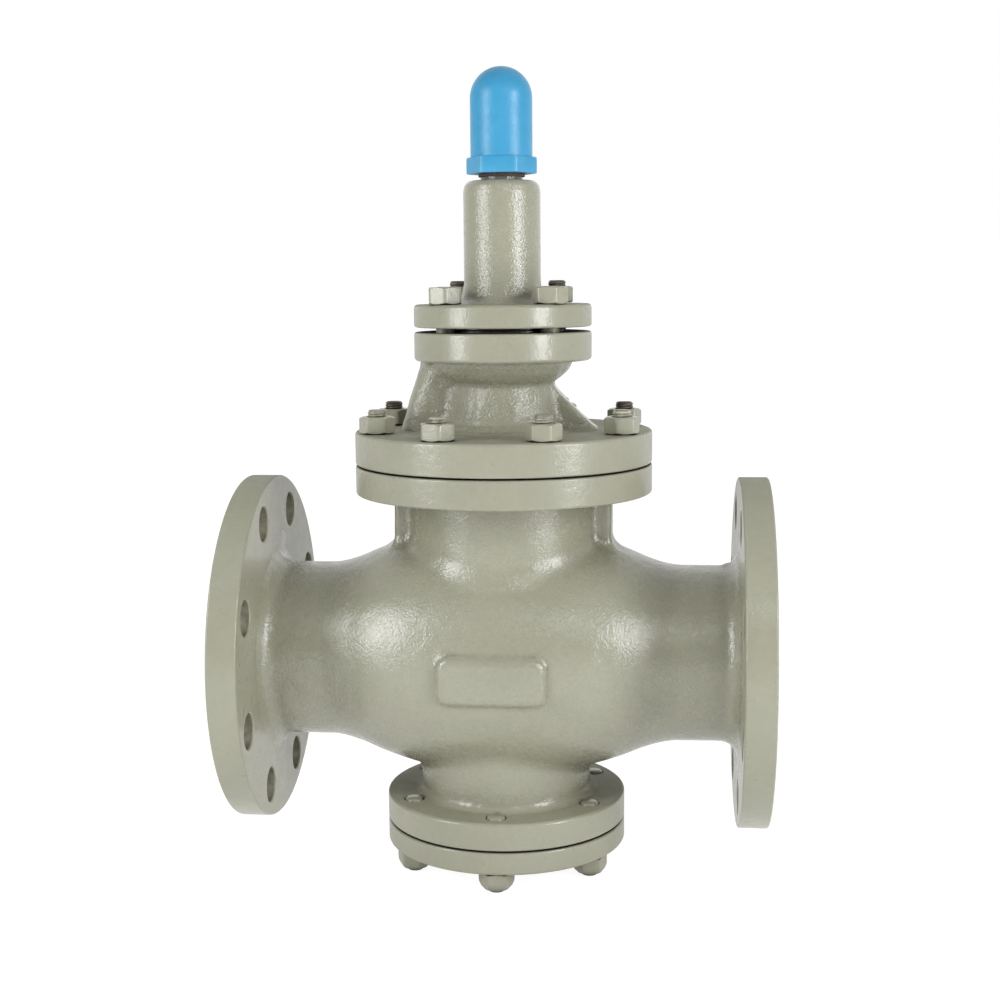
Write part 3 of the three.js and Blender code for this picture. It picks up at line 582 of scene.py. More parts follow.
def chamfered_hole(radius, bottom, top, chamfer=0.8, steps=HOLE_STEPS):
    """A cutter for a drilled hole between two faces, its mouths broken."""
    beyond = 1
    wide = radius + chamfer + beyond
    return lathe([
        (0, bottom - beyond), (wide, bottom - beyond), (radius, bottom + chamfer),
        (radius, top - chamfer), (wide, top + beyond), (0, top + beyond),
    ], steps)


def pipe_flange_holes():
    hole = chamfered_hole(BOLT_HOLE_R, FACE_X - PIPE_FLANGE_T, FACE_X - RAISED_FACE_H)
    return along_pipe(joined([moved(hole, x, y) for x, y in on_circle(BOLT_CIRCLE_R, 8)]))


def passage_cutter():
    """A cutter for the passage's outer stretch, which narrows and sinks inwards."""
    end = FACE_X + 1
    length = end - PASSAGE_START
    start = FACE_X - PIPE_FLANGE_T - 8
    clear = 0.15
    near = PASSAGE_R + clear + (BORE_R - PASSAGE_R) * (start - PASSAGE_START) / length
    outline = [(0, start), (near, start), (BORE_R, FACE_X - 1.5), (BORE_R + 2.5, end), (0, end)]
    points, faces = along_pipe(lathe(outline, BORE_STEPS))
    points[:, 2] -= NECK_DROP * (FACE_X - points[:, 0]) / length
    return points, faces


def bored(radius, bottom, top):
    return disc(radius, bottom, top, steps=BORE_STEPS)


def stud_holes(circle, count, radius, bottom, top):
    hole = chamfered_hole(radius, bottom, top, 0.5, 32)
    return joined([moved(hole, x, y) for x, y in on_circle(circle, count)])


def make_body():
    lo = (-FACE_X + 12, -95, 36)
    hi = (FACE_X - 12, 92, 264)
    step = 2.3
    casting = surface_of(body_field, lo, hi, step, (11, 0.16, 9, 60))
    flange = pipe_flange()
    holes = pipe_flange_holes()
    passage = passage_cutter()
    top = BODY_TOP_Z
    bottom = BODY_BOTTOM_Z
    top_flange = disc(BONNET_FLANGE_R, top - BODY_TOP_FLANGE_T, top, 1.4, 1.3)
    bottom_flange = disc(BOTTOM_FLANGE_R, bottom, bottom + BODY_BOTTOM_FLANGE_T, 1.3, 2.2)
    cuts = [
        holes,
        half_turned(holes),
        passage,
        half_turned(passage),
        bored(SEAT_HOLE_R, PIPE_Z - 12, PIPE_Z + 12),
        bored(LINER_HOLE_R, LINER_HOLE_Z, top + 1),
        bored(LINER_LIP_R, top - LINER_LIP_T, top + 1),
        bored(LOWER_HOLE_R, bottom - 1, LOWER_HOLE_TOP_Z),
        stud_holes(BONNET_STUD_CIRCLE_R, 8, STUD_TAPPED_R, BONNET_STUD_END_Z, top),
        stud_holes(BOTTOM_STUD_CIRCLE_R, 6, STUD_TAPPED_R + 0.2, bottom, BOTTOM_STUD_END_Z),
    ]
    joins = [flange, half_turned(flange), top_flange, bottom_flange]
    steps = [("UNION", shape) for shape in joins] + [("DIFFERENCE", shape) for shape in cuts]
    return combine("Body", casting, steps)


# ---------- Bonnet, spring housing, cover and cap


def bonnet_field(p):
    """The bonnet between its flanges: a waisted core, a duct at -X and a gusset at +X."""
    x, y, z = p.T
    top = BONNET_BASE_Z + BONNET_FLANGE_T
    lip = BONNET_TOP_Z - BONNET_TOP_FLANGE_T
    outline = [
        (-1, top - 7), (60, top - 7), (60, top - FOOT_GAP), (49, top - FOOT_GAP),
        (42.5, top + 1.6), (37.8, top + 5), (34.6, top + 11), (32.6, lip - 20), (32, lip - 16.5),
        (33.4, lip - 14), (38, lip - 11), (42, lip - 7.5), (44.8, lip - 3.5), (46, lip + FOOT_GAP),
        (50, lip + FOOT_GAP), (50, lip + 8), (-1, lip + 8),
    ]
    core = outline_distance(np.hypot(x, y), z, outline)
    foot = np.array([DUCT_FOOT_X, top - 3])
    head = np.array([DUCT_HEAD_X, lip + 1])
    along = (head - foot) / np.linalg.norm(head - foot)
    outward = (x - foot[0]) * -along[1] + (z - foot[1]) * along[0]
    duct = np.hypot(np.maximum(outward, 0), y) - DUCT_R
    duct = np.maximum(duct, x + 5)
    duct = np.maximum(duct, np.abs(z - DUCT_MIDDLE_Z) - DUCT_HALF_H)
    gusset_outline = [(5, top - 6), (63, top - 6), (63, top - 1), (33, top + 28.5), (5, top + 31)]
    gusset = meet(outline_distance(x, z, gusset_outline), np.abs(y) - GUSSET_HALF_T, 1.6)
    return fillet(fillet(core, duct, 7), gusset, 5)


def make_bonnet():
    base = BONNET_BASE_Z
    top = base + BONNET_FLANGE_T
    lip = BONNET_TOP_Z - BONNET_TOP_FLANGE_T
    lo, hi = (-76, -66, top - 10), (72, 66, lip + 11)
    step = 1.25
    casting = surface_of(bonnet_field, lo, hi, step, (5, 0.24, 6, 30))
    lower = disc(BONNET_FLANGE_R, base, top, 1.3, 2.0)
    upper = lathe([
        (0, lip), (HOUSING_FLANGE_R, lip, 2.6), (HOUSING_FLANGE_R, BONNET_TOP_Z, 1.6),
        (REGISTER_R, BONNET_TOP_Z), (REGISTER_R, BONNET_TOP_Z + REGISTER_H),
        (0, BONNET_TOP_Z + REGISTER_H),
    ])
    cuts = [
        bored(PISTON_ROOM_R, base - 1, PISTON_ROOM_TOP_Z),
        bored(PILOT_HOLE_R, PILOT_HOLE_Z, PILOT_SEAT_HOLE_Z + 1),
        bored(PILOT_SEAT_HOLE_R, PILOT_SEAT_HOLE_Z, DIAPHRAGM_ROOM_Z + 1),
        bored(DIAPHRAGM_ROOM_R, DIAPHRAGM_ROOM_Z, BONNET_TOP_Z + 2),
        stud_holes(BONNET_STUD_CIRCLE_R, 8, STUD_CLEARANCE_R, base, top),
        stud_holes(HOUSING_STUD_CIRCLE_R, 4, STUD_TAPPED_R, lip + 4, BONNET_TOP_Z),
    ]
    steps = [("UNION", lower), ("UNION", upper)] + [("DIFFERENCE", shape) for shape in cuts]
    return combine("Bonnet", casting, steps)


def make_spring_housing():
    base = HOUSING_BASE_Z
    top = base + HOUSING_FLANGE_T
    shoulder = SPIGOT_TOP_Z - 18.4
    room_top, step_z = 440, 366
    shape = lathe([
        (30, base - REGISTER_H), (REGISTER_R, base - REGISTER_H), (REGISTER_R, base),
        (HOUSING_FLANGE_R, base, 1.6), (HOUSING_FLANGE_R, top, 2.6),
        (33.5, top, 3), (27.5, top + 3.5, 6), (25, top + 13, 12), (25, shoulder - 7, 4),
        (24.1, shoulder - 2.6, 4), (21.2, shoulder, 3), (18.5, shoulder), (13.5, shoulder, 0.4),
        (13.5, SPIGOT_TOP_Z, 0.8), (6.3, SPIGOT_TOP_Z, 0.8), (6.3, room_top),
        (20, room_top - 4, 1), (20, step_z, 1), (30, step_z, 1),
    ])
    holes = stud_holes(HOUSING_STUD_CIRCLE_R, 4, STUD_CLEARANCE_R, base, top)
    return combine("Spring_housing", shape, [("DIFFERENCE", holes)])


def make_bottom_cover():
    floor_z, spigot_top, guide_top = 34, 39.7, 75
    shape = lathe([
        (0, COVER_BASE_Z), (BOTTOM_FLANGE_R, COVER_BASE_Z, 2.0),
        (BOTTOM_FLANGE_R, COVER_TOP_Z, 1.3), (45.7, COVER_TOP_Z), (45.7, spigot_top, 0.8),
        (13, spigot_top, 2), (13, guide_top, 0.8), (9.3, guide_top, 0.5), (9.3, floor_z, 0.5),
        (0, floor_z),
    ])
    holes = stud_holes(BOTTOM_STUD_CIRCLE_R, 6, STUD_CLEARANCE_R, COVER_BASE_Z, COVER_TOP_Z)
    return combine("Bottom_cover", shape, [("DIFFERENCE", holes)])


HEX = 1000  # in an outline, a radius of HEX + d lies d inside the hexagon


def hexagonal(flats, soften=0.35, turn=0.0):
    """A radius_at for lathe: plain radii are round, and radii from HEX up belong to a hexagon
    of that width over flats with softened corners."""
    corner = flats / math.sqrt(3) - soften

    def radius_at(r, angles):
        if r < HEX:
            return np.full(len(angles), float(r))
        face = (angles - turn) % (math.pi / 3) - math.pi / 6
        sharp = flats / 2 / np.cos(face)
        u = np.maximum(soften - (corner - sharp), 0)
        blunt = np.where(sharp > corner - soften, sharp - u * u / (4 * soften), sharp)
        return blunt - (r - HEX)

    return radius_at


def quarter_arc(radius, centre_z, start, steps):
    """A quarter circle centred on the axis, from the angle start to its other end."""
    angles = np.linspace(start, math.pi / 2 - start, steps)
    return [(radius * math.cos(a), centre_z + radius * math.sin(a)) for a in angles]


def cap_shape():
    bottom, top = levels("cap")
    outer_r, inner_r = 20, 15
    hex_top = bottom + 10.6
    dome_z = top - outer_r
    dome = quarter_arc(outer_r, dome_z, 0, 22)
    hollow = quarter_arc(inner_r, dome_z - 2, math.pi / 2, 14)
    outline = [
        (0, hollow[0][1]), *hollow[1:], (inner_r, 472), (13.8, 470), (13.8, bottom + 0.8),
        (14.6, bottom), (HEX + 1.2, bottom), (HEX + 0.25, bottom + 0.25), (HEX, bottom + 0.8),
        (HEX, hex_top - 1.4), (HEX + 0.12, hex_top - 0.6), (HEX + 0.5, hex_top - 0.1),
        (outer_r + 0.01, hex_top + 0.1), (outer_r, hex_top + 0.6), *dome[:-1], (0, top),
    ]
    return lathe(outline, CAP_STEPS, hexagonal(CAP_FLATS))


# ---------- Fasteners and springs


def nut_shape(flats, height, hole, turn, worn_below=False):
    """A chamfered hexagon nut standing on z = 0, its lower end rounded off if worn_below."""
    flat_r = flats / 2
    radius_at = hexagonal(flats, 0.3, turn)
    angles = np.arange(NUT_STEPS) * 2 * math.pi / NUT_STEPS
    slope = (radius_at(HEX, angles) - flat_r) * math.tan(math.radians(30))
    lower = [(flat_r - 0.5, 0, 0), (HEX + 0.45, 0.08, 1), (HEX + 0.12, 0.3, 1), (HEX, 0.7, 1)]
    if worn_below:
        lower = [
            (flat_r - 3.2, 0, 0), (flat_r - 2.0, 0.4, 0), (HEX + 1.6, 1.2, 0.7),
            (HEX + 0.8, 2.5, 1), (HEX + 0.25, 4.0, 1), (HEX, 5.6, 1),
        ]
    upper = [
        (HEX, height - 0.8, -1), (HEX + 0.12, height - 0.35, -1), (HEX + 0.5, height - 0.08, -1),
        (flat_r - 0.6, height, 0), (hole + 0.9, height, 0), (hole, height - 1.0, 0),
    ]
    rows = []
    for r, z, chamfer in [(hole, 1.0, 0), (hole + 0.9, 0, 0), *lower, *upper]:
        heights = z + slope * chamfer
        radii = radius_at(r, angles)
        ring = zip(radii, angles, heights)
        rows.append([(q * math.cos(a), q * math.sin(a), h) for q, a, h in ring])
    return skin(rows, True)


def stud_shape(length, threads, radius=6.0, pitch=1.75):
    """A stud standing on z = 0; threads are (from, to) lengths with a real helical thread."""
    steps = 28
    depth = 0.6
    angles = np.arange(steps) * 2 * math.pi / steps
    heights = {0.0, 1.0, length - 1.2, length}
    for start, end in threads:
        heights |= set(np.arange(start, end, pitch / 6).tolist()) | {end}
    rows = [[(0.0, 0.0, 0.0)]]
    for z in sorted(heights):
        end_cut = max(0.0, 1.0 - z, 1.2 - (length - z)) * 1.1
        cut = np.zeros(steps)
        for start, end in threads:
            if start <= z <= end:
                phase = (z / pitch - angles / (2 * math.pi)) % 1
                groove = np.clip(1.2 - np.abs(phase - 0.5) * 3.0, 0, 1)
                fade = min(1, (z - start) / pitch, (end - z + 0.5) / pitch)
                cut = depth * groove * fade
        radii = np.minimum(radius - cut, radius - end_cut)
        rows.append([(q * math.cos(a), q * math.sin(a), z) for q, a in zip(radii, angles)])
    rows.append([(0.0, 0.0, length)])
    return skin(rows, False)


def coil_shape(mean, wire, bottom, top, turns):
    """A helical spring with closed, ground-looking ends."""
    around = 14
    along = turns * 40
    t = np.linspace(0, 1, along + 1)
    angle = t * turns * 2 * math.pi
    closed = 1 / turns
    active = np.clip((t - closed * 0.6) / (1 - 1.2 * closed), 0, 1)
    z = bottom + wire + active * (top - bottom - 2 * wire)
    rows = []
    for a, height in zip(angle, z):
        row = []
        for k in range(around):
            q = k * 2 * math.pi / around
            r = mean + wire * math.cos(q)
            row.append((r * math.cos(a), r * math.sin(a), height + wire * math.sin(q)))
        rows.append(row)
    return capped(rows)


# ---------- Materials


def link_or_set(tree, value, socket):
    if isinstance(value, bpy.types.NodeSocket):
        tree.links.new(value, socket)
    else:
        socket.default_value = value


def add_node(tree, kind, inputs=(), **settings):
    """A shader node with those attributes, its inputs by name or number linked or set."""
    node = tree.nodes.new("ShaderNode" + kind)
    for name, value in settings.items():
        setattr(node, name, value)
    for name, value in dict(inputs).items():
        link_or_set(tree, value, node.inputs[name])
    return node


class Graph:
    """A material's nodes."""

    def __init__(self, name):
        self.material = bpy.data.materials.new(name)
        self.material.use_nodes = True
        self.tree = self.material.node_tree
        self.shader = self.tree.nodes["Principled BSDF"]
        coordinates = self.add("TexCoord")
        shift = self.math("MULTIPLY", self.add("ObjectInfo").outputs["Random"], 3.7)
        place = self.add("VectorMath", {0: coordinates.outputs["Object"], 1: shift}, operation="ADD")
        self.place = place.outputs[0]

    def add(self, kind, inputs=(), **settings):
        return add_node(self.tree, kind, inputs, **settings)

    def math(self, operation, a, b):
        return self.add("Math", {0: a, 1: b}, operation=operation).outputs[0]

    def noise(self, size, detail=3):
        """Noise with features of about that size in millimetres."""
        inputs = {"Vector": self.place, "Scale": 1 / (size * MM), "Detail": detail}
        return self.add("TexNoise", {**inputs, "Roughness": 0.55}).outputs["Fac"]

    def spread(self, value, low, high, to_low, to_high):
        """value's range from low to high, mapped to another range."""
        source = {"Value": value, "From Min": low, "From Max": high}
        return self.add("MapRange", {**source, "To Min": to_low, "To Max": to_high}).outputs["Result"]

    def mix(self, factor, a, b):
        mixed = self.add("Mix", data_type="RGBA")
        for name, value in (("Factor", factor), ("A", a), ("B", b)):
            link_or_set(self.tree, value, mixed.inputs[name])
        return mixed.outputs["Result"]

    def bump(self, height, depth, before=None):
        """A bump of that depth in millimetres, over an earlier one."""
        inputs = {"Distance": depth * MM, "Height": height}
        if before is not None:
            inputs["Normal"] = before
        return self.add("Bump", inputs).outputs["Normal"]

    def occlusion(self, reach):
        """1 in the open and 0 deep in a gap narrower than about that reach in millimetres."""
        return self.add("AmbientOcclusion", {"Distance": reach * MM}, samples=6).outputs["AO"]

    def pointiness(self):
        return self.add("NewGeometry").outputs["Pointiness"]

    def finish(self, colour, roughness, normal, **others):
        """The material; others are more of its shader's inputs, with _ for a space."""
        inputs = {"Base Color": colour, "Roughness": roughness, "Normal": normal, **others}
        for name, value in inputs.items():
            link_or_set(self.tree, value, self.shader.inputs[name.replace("_", " ")])
        return self.material


def linear(r, g, b):
    """A display colour of 0-255 as linear light."""
    values = []
    for v in (r, g, b):
        c = v / 255
        values.append(c / 12.92 if c <= 0.04045 else ((c + 0.055) / 1.055) ** 2.4)
    return (*values, 1)


def paint(name, cast_depth, peel_depth, fine_depth, coat=0.7, dust=0.0, shade=0.5, edges=0.0):
    """Glossy grey-green enamel: colour drift, orange peel, painted shade in the gaps and painted
    highlights on the edges. The depths are in millimetres; dust dulls the gloss, shade sets how
    far painted shade darkens what sees little of the room, and edges, for finely meshed castings,
    darkens concave corners in patches and paints highlights on convex edges."""
    g = Graph(name)
    cloud = g.spread(g.noise(60, 2), 0.35, 0.65, 0, 1)
    drift = g.mix(cloud, linear(151, 150, 131), linear(157, 156, 137))
    mottled = g.mix(g.spread(g.noise(5, 4), 0.4, 0.75, 0, 0.16), drift, linear(172, 171, 152))
    # Painted shade: darker olive where little of the room is seen within about 45 mm.
    shaded = g.mix(g.spread(g.occlusion(45), 0.27, 0.88, shade, 0), mottled, linear(112, 110, 90))
    # Painted shade: near black deep in gaps narrower than about 9 mm, which are also made rougher.
    hidden = g.spread(g.occlusion(9), 0.12, 0.6, 1, 0)
    # Darker patches in concave corners.
    corner = g.spread(g.pointiness(), 0.455, 0.497, 0.75 * edges, 0)
    crevice = g.math("MULTIPLY", corner, g.noise(4, 3))
    painted_shade_colour = g.mix(crevice, g.mix(hidden, shaded, linear(26, 25, 21)), linear(96, 93, 78))
    # Painted highlight: convex edges lightened towards pale cream in patches.
    edge = g.spread(g.pointiness(), 0.54, 0.64, 0, 0.35 * edges)
    edge_highlight = g.math("MULTIPLY", edge, g.noise(3, 3))
    colour = g.mix(edge_highlight, painted_shade_colour, linear(200, 198, 182))
    sheen = g.spread(g.noise(9, 4), 0.3, 0.7, 0.2 + dust, 0.32 + dust * 1.2)
    roughness = g.math("MAXIMUM", sheen, g.math("MULTIPLY", hidden, 0.9))
    normal = g.bump(g.noise(18, 3), cast_depth)
    normal = g.bump(g.noise(4.5, 2), peel_depth, normal)
    normal = g.bump(g.noise(1.3, 2), fine_depth, normal)
    gloss = {"Coat_Normal": normal, "Coat_Weight": coat, "Coat_Roughness": 0.1 + dust / 2}
    return g.finish(colour, roughness, normal, **gloss)


def cap_plastic():
    g = Graph("Cap_plastic")
    cloud = g.spread(g.noise(14, 3), 0.35, 0.7, 0, 1)
    colour = g.mix(cloud, linear(55, 147, 190), linear(65, 154, 196))
    # Painted highlight: convex edges lightened towards pale blue.
    edge = g.spread(g.pointiness(), 0.52, 0.62, 0, 0.5)
    colour = g.mix(edge, colour, linear(140, 202, 232))
    roughness = g.spread(g.noise(5, 4), 0.3, 0.7, 0.3, 0.42)
    normal = g.bump(g.noise(5, 2), 0.1)
    normal = g.bump(g.noise(1.2, 2), 0.15, normal)
    return g.finish(colour, roughness, normal)


def metal(name, dark, light, metallic, roughness, size=4.0, depth=0.03):
    """Bare metal with tarnish that drifts between two colours, polished edges, and painted shade deep
    in narrow gaps.
    """
    g = Graph(name)
    colour = g.mix(g.spread(g.noise(size, 4), 0.35, 0.65, 0, 1), dark, light)
    bright = tuple(min(1, c * 1.8) for c in light[:3]) + (1,)
    edge = g.spread(g.pointiness(), 0.53, 0.62, 0, 0.6)
    colour = g.mix(edge, colour, bright)
    # Painted shade: near black deep in gaps narrower than about 9 mm.
    colour = g.mix(g.spread(g.occlusion(9), 0.1, 0.5, 0.9, 0), colour, linear(22, 20, 18))
    rough = g.spread(g.noise(size * 0.6, 4), 0.3, 0.7, roughness - 0.1, roughness + 0.12)
    normal = g.bump(g.noise(0.9, 3), depth)
    return g.finish(colour, rough, normal, Metallic=metallic)


def fibre(name, dark, light):
    g = Graph(name)
    colour = g.mix(g.spread(g.noise(1.5, 5), 0.35, 0.65, 0, 1), dark, light)
    rough = g.spread(g.noise(2, 3), 0.3, 0.7, 0.6, 0.85)
    return g.finish(colour, rough, g.bump(g.noise(0.6, 4), 0.08))


PAINT = paint("Paint", 0.3, 0.18, 0.3, shade=0.46, edges=1)
PAINT_FINE = paint("Paint_fine", 0.15, 0.08, 0.36, shade=0.46, edges=1)
PAINT_ROUGH = paint("Paint_rough", 0.6, 0.5, 0.55, edges=1)
PAINT_MACHINED = paint("Paint_machined", 0.2, 0.13, 0.12, coat=0.45, dust=0.06)
PAINT_DUSTY = paint("Paint_dusty", 0.3, 0.2, 0.25, coat=0, dust=0.34, shade=0.3)
# Painted shade: a darker, dull finish for the walls of the pipe flanges' bolt holes.
PAINT_SHADED_HOLES = metal("Paint_shaded_holes", linear(88, 86, 72), linear(122, 120, 102), 0, 0.5, 6, 0.1)
# Painted shade: near-black steel for the diaphragm, whose edge shows in the gap between the bonnet and
# the spring housing.
PAINTED_SHADE_STEEL = metal("Painted_shade_steel", linear(30, 28, 26), linear(58, 55, 50), 0.5, 0.6)
OVERSPRAYED = metal("Oversprayed_steel", linear(112, 108, 94), linear(168, 166, 148), 0.1, 0.4)
MATERIALS = {
    "cap_plastic": cap_plastic(),
    "dark_steel": metal("Dark_steel", linear(72, 66, 58), linear(128, 122, 108), 0.55, 0.45),
    "stainless": metal("Stainless", linear(150, 152, 154), linear(190, 191, 192), 1.0, 0.28),
    "spring_steel": metal("Spring_steel", linear(62, 64, 68), linear(104, 106, 110), 0.9, 0.4),
    "ring_iron": metal("Ring_iron", linear(84, 86, 88), linear(118, 119, 120), 0.9, 0.45),
    "graphite": fibre("Graphite", linear(34, 34, 35), linear(58, 58, 58)),
    "red_fibre": fibre("Red_fibre", linear(74, 54, 48), linear(102, 76, 68)),
}


# ---------- Every piece in its place


def stand_in(obj, node, slot, material=None, rides=True):
    """Puts obj in place of a CAD node, with that material or the one its slot is named after."""
    obj.data.materials.clear()
    obj.data.materials.append(material or MATERIALS[slot])
    if rides:
        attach(obj, frame["nodes"][node]["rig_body"])
    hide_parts(node)
    return obj


def piece(node, shape, slot, material=None, sharp_degrees=35, weighted=True, location=(0, 0, 0)):
    """A piece with that closed shape, in place of one node and named after it."""
    name = node.capitalize()
    obj = new_object(name, new_mesh(name, *shape, sharp_degrees), location, weighted)
    return stand_in(obj, node, slot, material)


def turned_piece(node, outline, slot, steps=BORE_STEPS):
    """A round piece; outline(bottom, top) gives its outline from the node's own levels."""
    return piece(node, lathe(outline(*levels(node)), steps), slot)


def split_finish(obj, material, machined, machined_x=FACE_X):
    """Gives the faces between each pair of heights, and those further out than machined_x, the
    smoother paint; it is dusty where they are level, and the pipe flanges' hole walls take a
    darker finish as painted shade."""
    mesh = obj.data
    centres = np.zeros(len(mesh.polygons) * 3)
    normals = np.zeros(len(mesh.polygons) * 3)
    mesh.polygons.foreach_get("center", centres)
    mesh.polygons.foreach_get("normal", normals)
    mesh.materials.clear()
    for finish in (material, PAINT_MACHINED, PAINT_DUSTY, PAINT_SHADED_HOLES):
        mesh.materials.append(finish)
    x, y, z = centres.reshape(-1, 3).T / MM
    along_x = np.abs(normals[0::3])
    level = normals[2::3] > 0.5
    from_axis = np.hypot(y, z - PIPE_Z)
    beyond_neck = (np.abs(x) > FACE_X - PIPE_FLANGE_T) & (from_axis > RAISED_FACE_R + 1)
    in_hole = beyond_neck & (along_x < 0.3) & (from_axis < PIPE_FLANGE_R - 4)
    smooth = np.abs(x) > machined_x
    for low, high in machined:
        smooth |= (z > low) & (z < high)
    index = np.where(smooth, np.where(in_hole, 3, np.where(level, 2, 1)), 0)
    mesh.polygons.foreach_set("material_index", index.astype(np.int32))


margin = 0.1
body = stand_in(make_body(), "body", "paint", PAINT)
top_flange = (BODY_TOP_Z - BODY_TOP_FLANGE_T - margin, math.inf)
bottom_flange = (0, BODY_BOTTOM_Z + BODY_BOTTOM_FLANGE_T + 6)
split_finish(body, PAINT, [top_flange, bottom_flange], FACE_X - PIPE_FLANGE_T - margin)

bonnet = stand_in(make_bonnet(), "bonnet", "paint", PAINT_ROUGH)
lower_flange = (0, BONNET_BASE_Z + BONNET_FLANGE_T + 0.6)
upper_flange = (BONNET_TOP_Z - BONNET_TOP_FLANGE_T - margin, math.inf)
split_finish(bonnet, PAINT_ROUGH, [lower_flange, upper_flange])

housing = stand_in(make_spring_housing(), "spring_housing", "paint", PAINT_FINE)
split_finish(housing, PAINT_FINE, [(0, HOUSING_BASE_Z + HOUSING_FLANGE_T + margin)])

stand_in(make_bottom_cover(), "bottom_cover", "paint", PAINT_MACHINED)
piece("cap", cap_shape(), "cap_plastic", sharp_degrees=40)


def washer(node, inner, slot, edge):
    outer = radius_of(node)
    turned_piece(node, lambda bottom, top: [
        (inner, bottom, edge), (outer, bottom, edge), (outer, top, edge), (inner, top, edge),
    ], slot)


washer("cap_seal", 13.8, "red_fibre", 0.3)
washer("bottom_gasket", 47, "graphite", 0)
washer("bonnet_gasket", 45, "graphite", 0)


def swept(section, start, end, steps):
    """A closed solid from a counterclockwise (r, z) section carried between two angles."""
    rows = []
    for degrees in np.linspace(start, end, steps):
        a = math.radians(degrees)
        rows.append([(r * math.cos(a), r * math.sin(a), z) for r, z in section])
    points, faces = capped(rows)
    return points, [tuple(reversed(face)) for face in faces]


def make_diaphragm():
    """A thin plate clamped at its edge; in the valve its centre moves with the lower spring seat.
    Here it is cut into wedges, which ride no body."""
    bottom, top = levels("diaphragm")
    wedges, seam = 12, 0.02
    radii = [0.1, 12, 24, *np.linspace(26, 29.5, 8), 30.5, radius_of("diaphragm")]
    section = [(r, bottom) for r in radii] + [(r, top) for r in reversed(radii)]
    for i in range(wedges):
        start, end = 360 * i / wedges, 360 * (i + 1) / wedges
        name = f"Diaphragm_{i + 1}"
        mesh = new_mesh(name, *swept(section, start + seam, end - seam, 9))
        wedge = new_object(name, mesh, weighted=False)
        # The wedges take the near-black steel: painted shade in the gap between the flanges.
        stand_in(wedge, "diaphragm", "stainless", PAINTED_SHADE_STEEL, rides=False)
        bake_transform(wedge)


make_diaphragm()

turned_piece("seat_ring", lambda bottom, top: [
    (36, bottom, 0.3), (38.5, bottom, 0.3), (40, bottom + 3, 0.4), (43, bottom + 3, 0.4),
    (43, PIPE_Z + 6.3, 0.4), (47, PIPE_Z + 6.3, 0.5), (47, top, 1), (36, top, 1.5),
], "stainless")

turned_piece("cylinder_liner", lambda bottom, top: [
    (40, bottom, 1), (49, bottom, 1), (49, top - 6.5, 0.4), (54, top - 6.5, 0.5),
    (54, top, 0.6), (40, top, 0.8),
], "stainless")

disc_top = levels("seat_ring")[0] - 0.3
turned_piece("main_disc", lambda bottom, top: [
    (0, bottom), (9, bottom, 1), (9, disc_top - 12, 1.5), (42, disc_top - 12, 1.2),
    (42, disc_top - 2, 0.5), (40, disc_top, 0.5), (8, disc_top, 1.5), (8, top, 1), (0, top),
], "stainless")

crown = 214
grooves = []
for ring in ("piston_ring_1", "piston_ring_2"):
    ring_bottom, ring_top = levels(ring)
    grooves += [
        (39.6, ring_bottom - 0.3, 0.2), (35.6, ring_bottom - 0.3, 0.2),
        (35.6, ring_top + 0.3, 0.2), (39.6, ring_top + 0.3, 0.2),
    ]
turned_piece("piston", lambda bottom, top: [
    (0, bottom), (8, bottom, 0.8), (8, crown, 2), (39.6, crown, 0.8), *grooves,
    (39.6, top, 0.6), (31.6, top, 0.6), (31.6, crown + 8, 3), (0, crown + 8),
], "stainless")


def split_ring(node, gap_degrees):
    """A piston ring as an open band with its gap turned to that angle."""
    bottom, top = levels(node)
    inner, outer = 35.9, 39.85
    half_gap = math.degrees(0.5 / outer)
    corners = [(inner, bottom, 0.2), (outer, bottom, 0.3), (outer, top, 0.3), (inner, top, 0.2)]
    start, end = gap_degrees + half_gap, gap_degrees + 360 - half_gap
    piece(node, swept(rounded(corners, True), start, end, 121), "ring_iron")


split_ring("piston_ring_1", 0)
split_ring("piston_ring_2", 180)

collar = 318
turned_piece("pilot_valve", lambda bottom, top: [
    (0, bottom), (3, bottom, 0.5), (3, collar, 0.4), (6.5, collar, 0.4), (6.5, collar + 3, 0.4),
    (2.5, collar + 7.9, 0.6), (2.5, top, 0.6), (0, top),
], "stainless", 48)

bottom, top = levels("pilot_seat")
piece("pilot_seat", lathe([
    (3.6, bottom), (4.4, bottom), (12, bottom), (12, top - 2.6), (HEX + 0.3, top - 2.6),
    (HEX, top - 2.3), (HEX, top - 0.4), (HEX + 0.4, top), (4.4, top), (3.6, top - 0.6),
], BORE_STEPS, hexagonal(28)), "stainless")

turned_piece("lower_spring_seat", lambda bottom, top: [
    (0, bottom), (26, bottom, 0.8), (26, bottom + 3.5, 0.8), (19, bottom + 5, 1),
    (12, bottom + 5, 0.8), (12, top - 2, 0.8), (10, top, 0.5), (0, top),
], "dark_steel")

turned_piece("upper_spring_seat", lambda bottom, top: [
    (0, bottom), (11, bottom, 0.5), (12, bottom + 2, 0.8), (12, bottom + 6, 0.6),
    (19.2, bottom + 6, 0.5), (19.2, bottom + 9, 1), (12, top, 1), (0, top),
], "dark_steel")


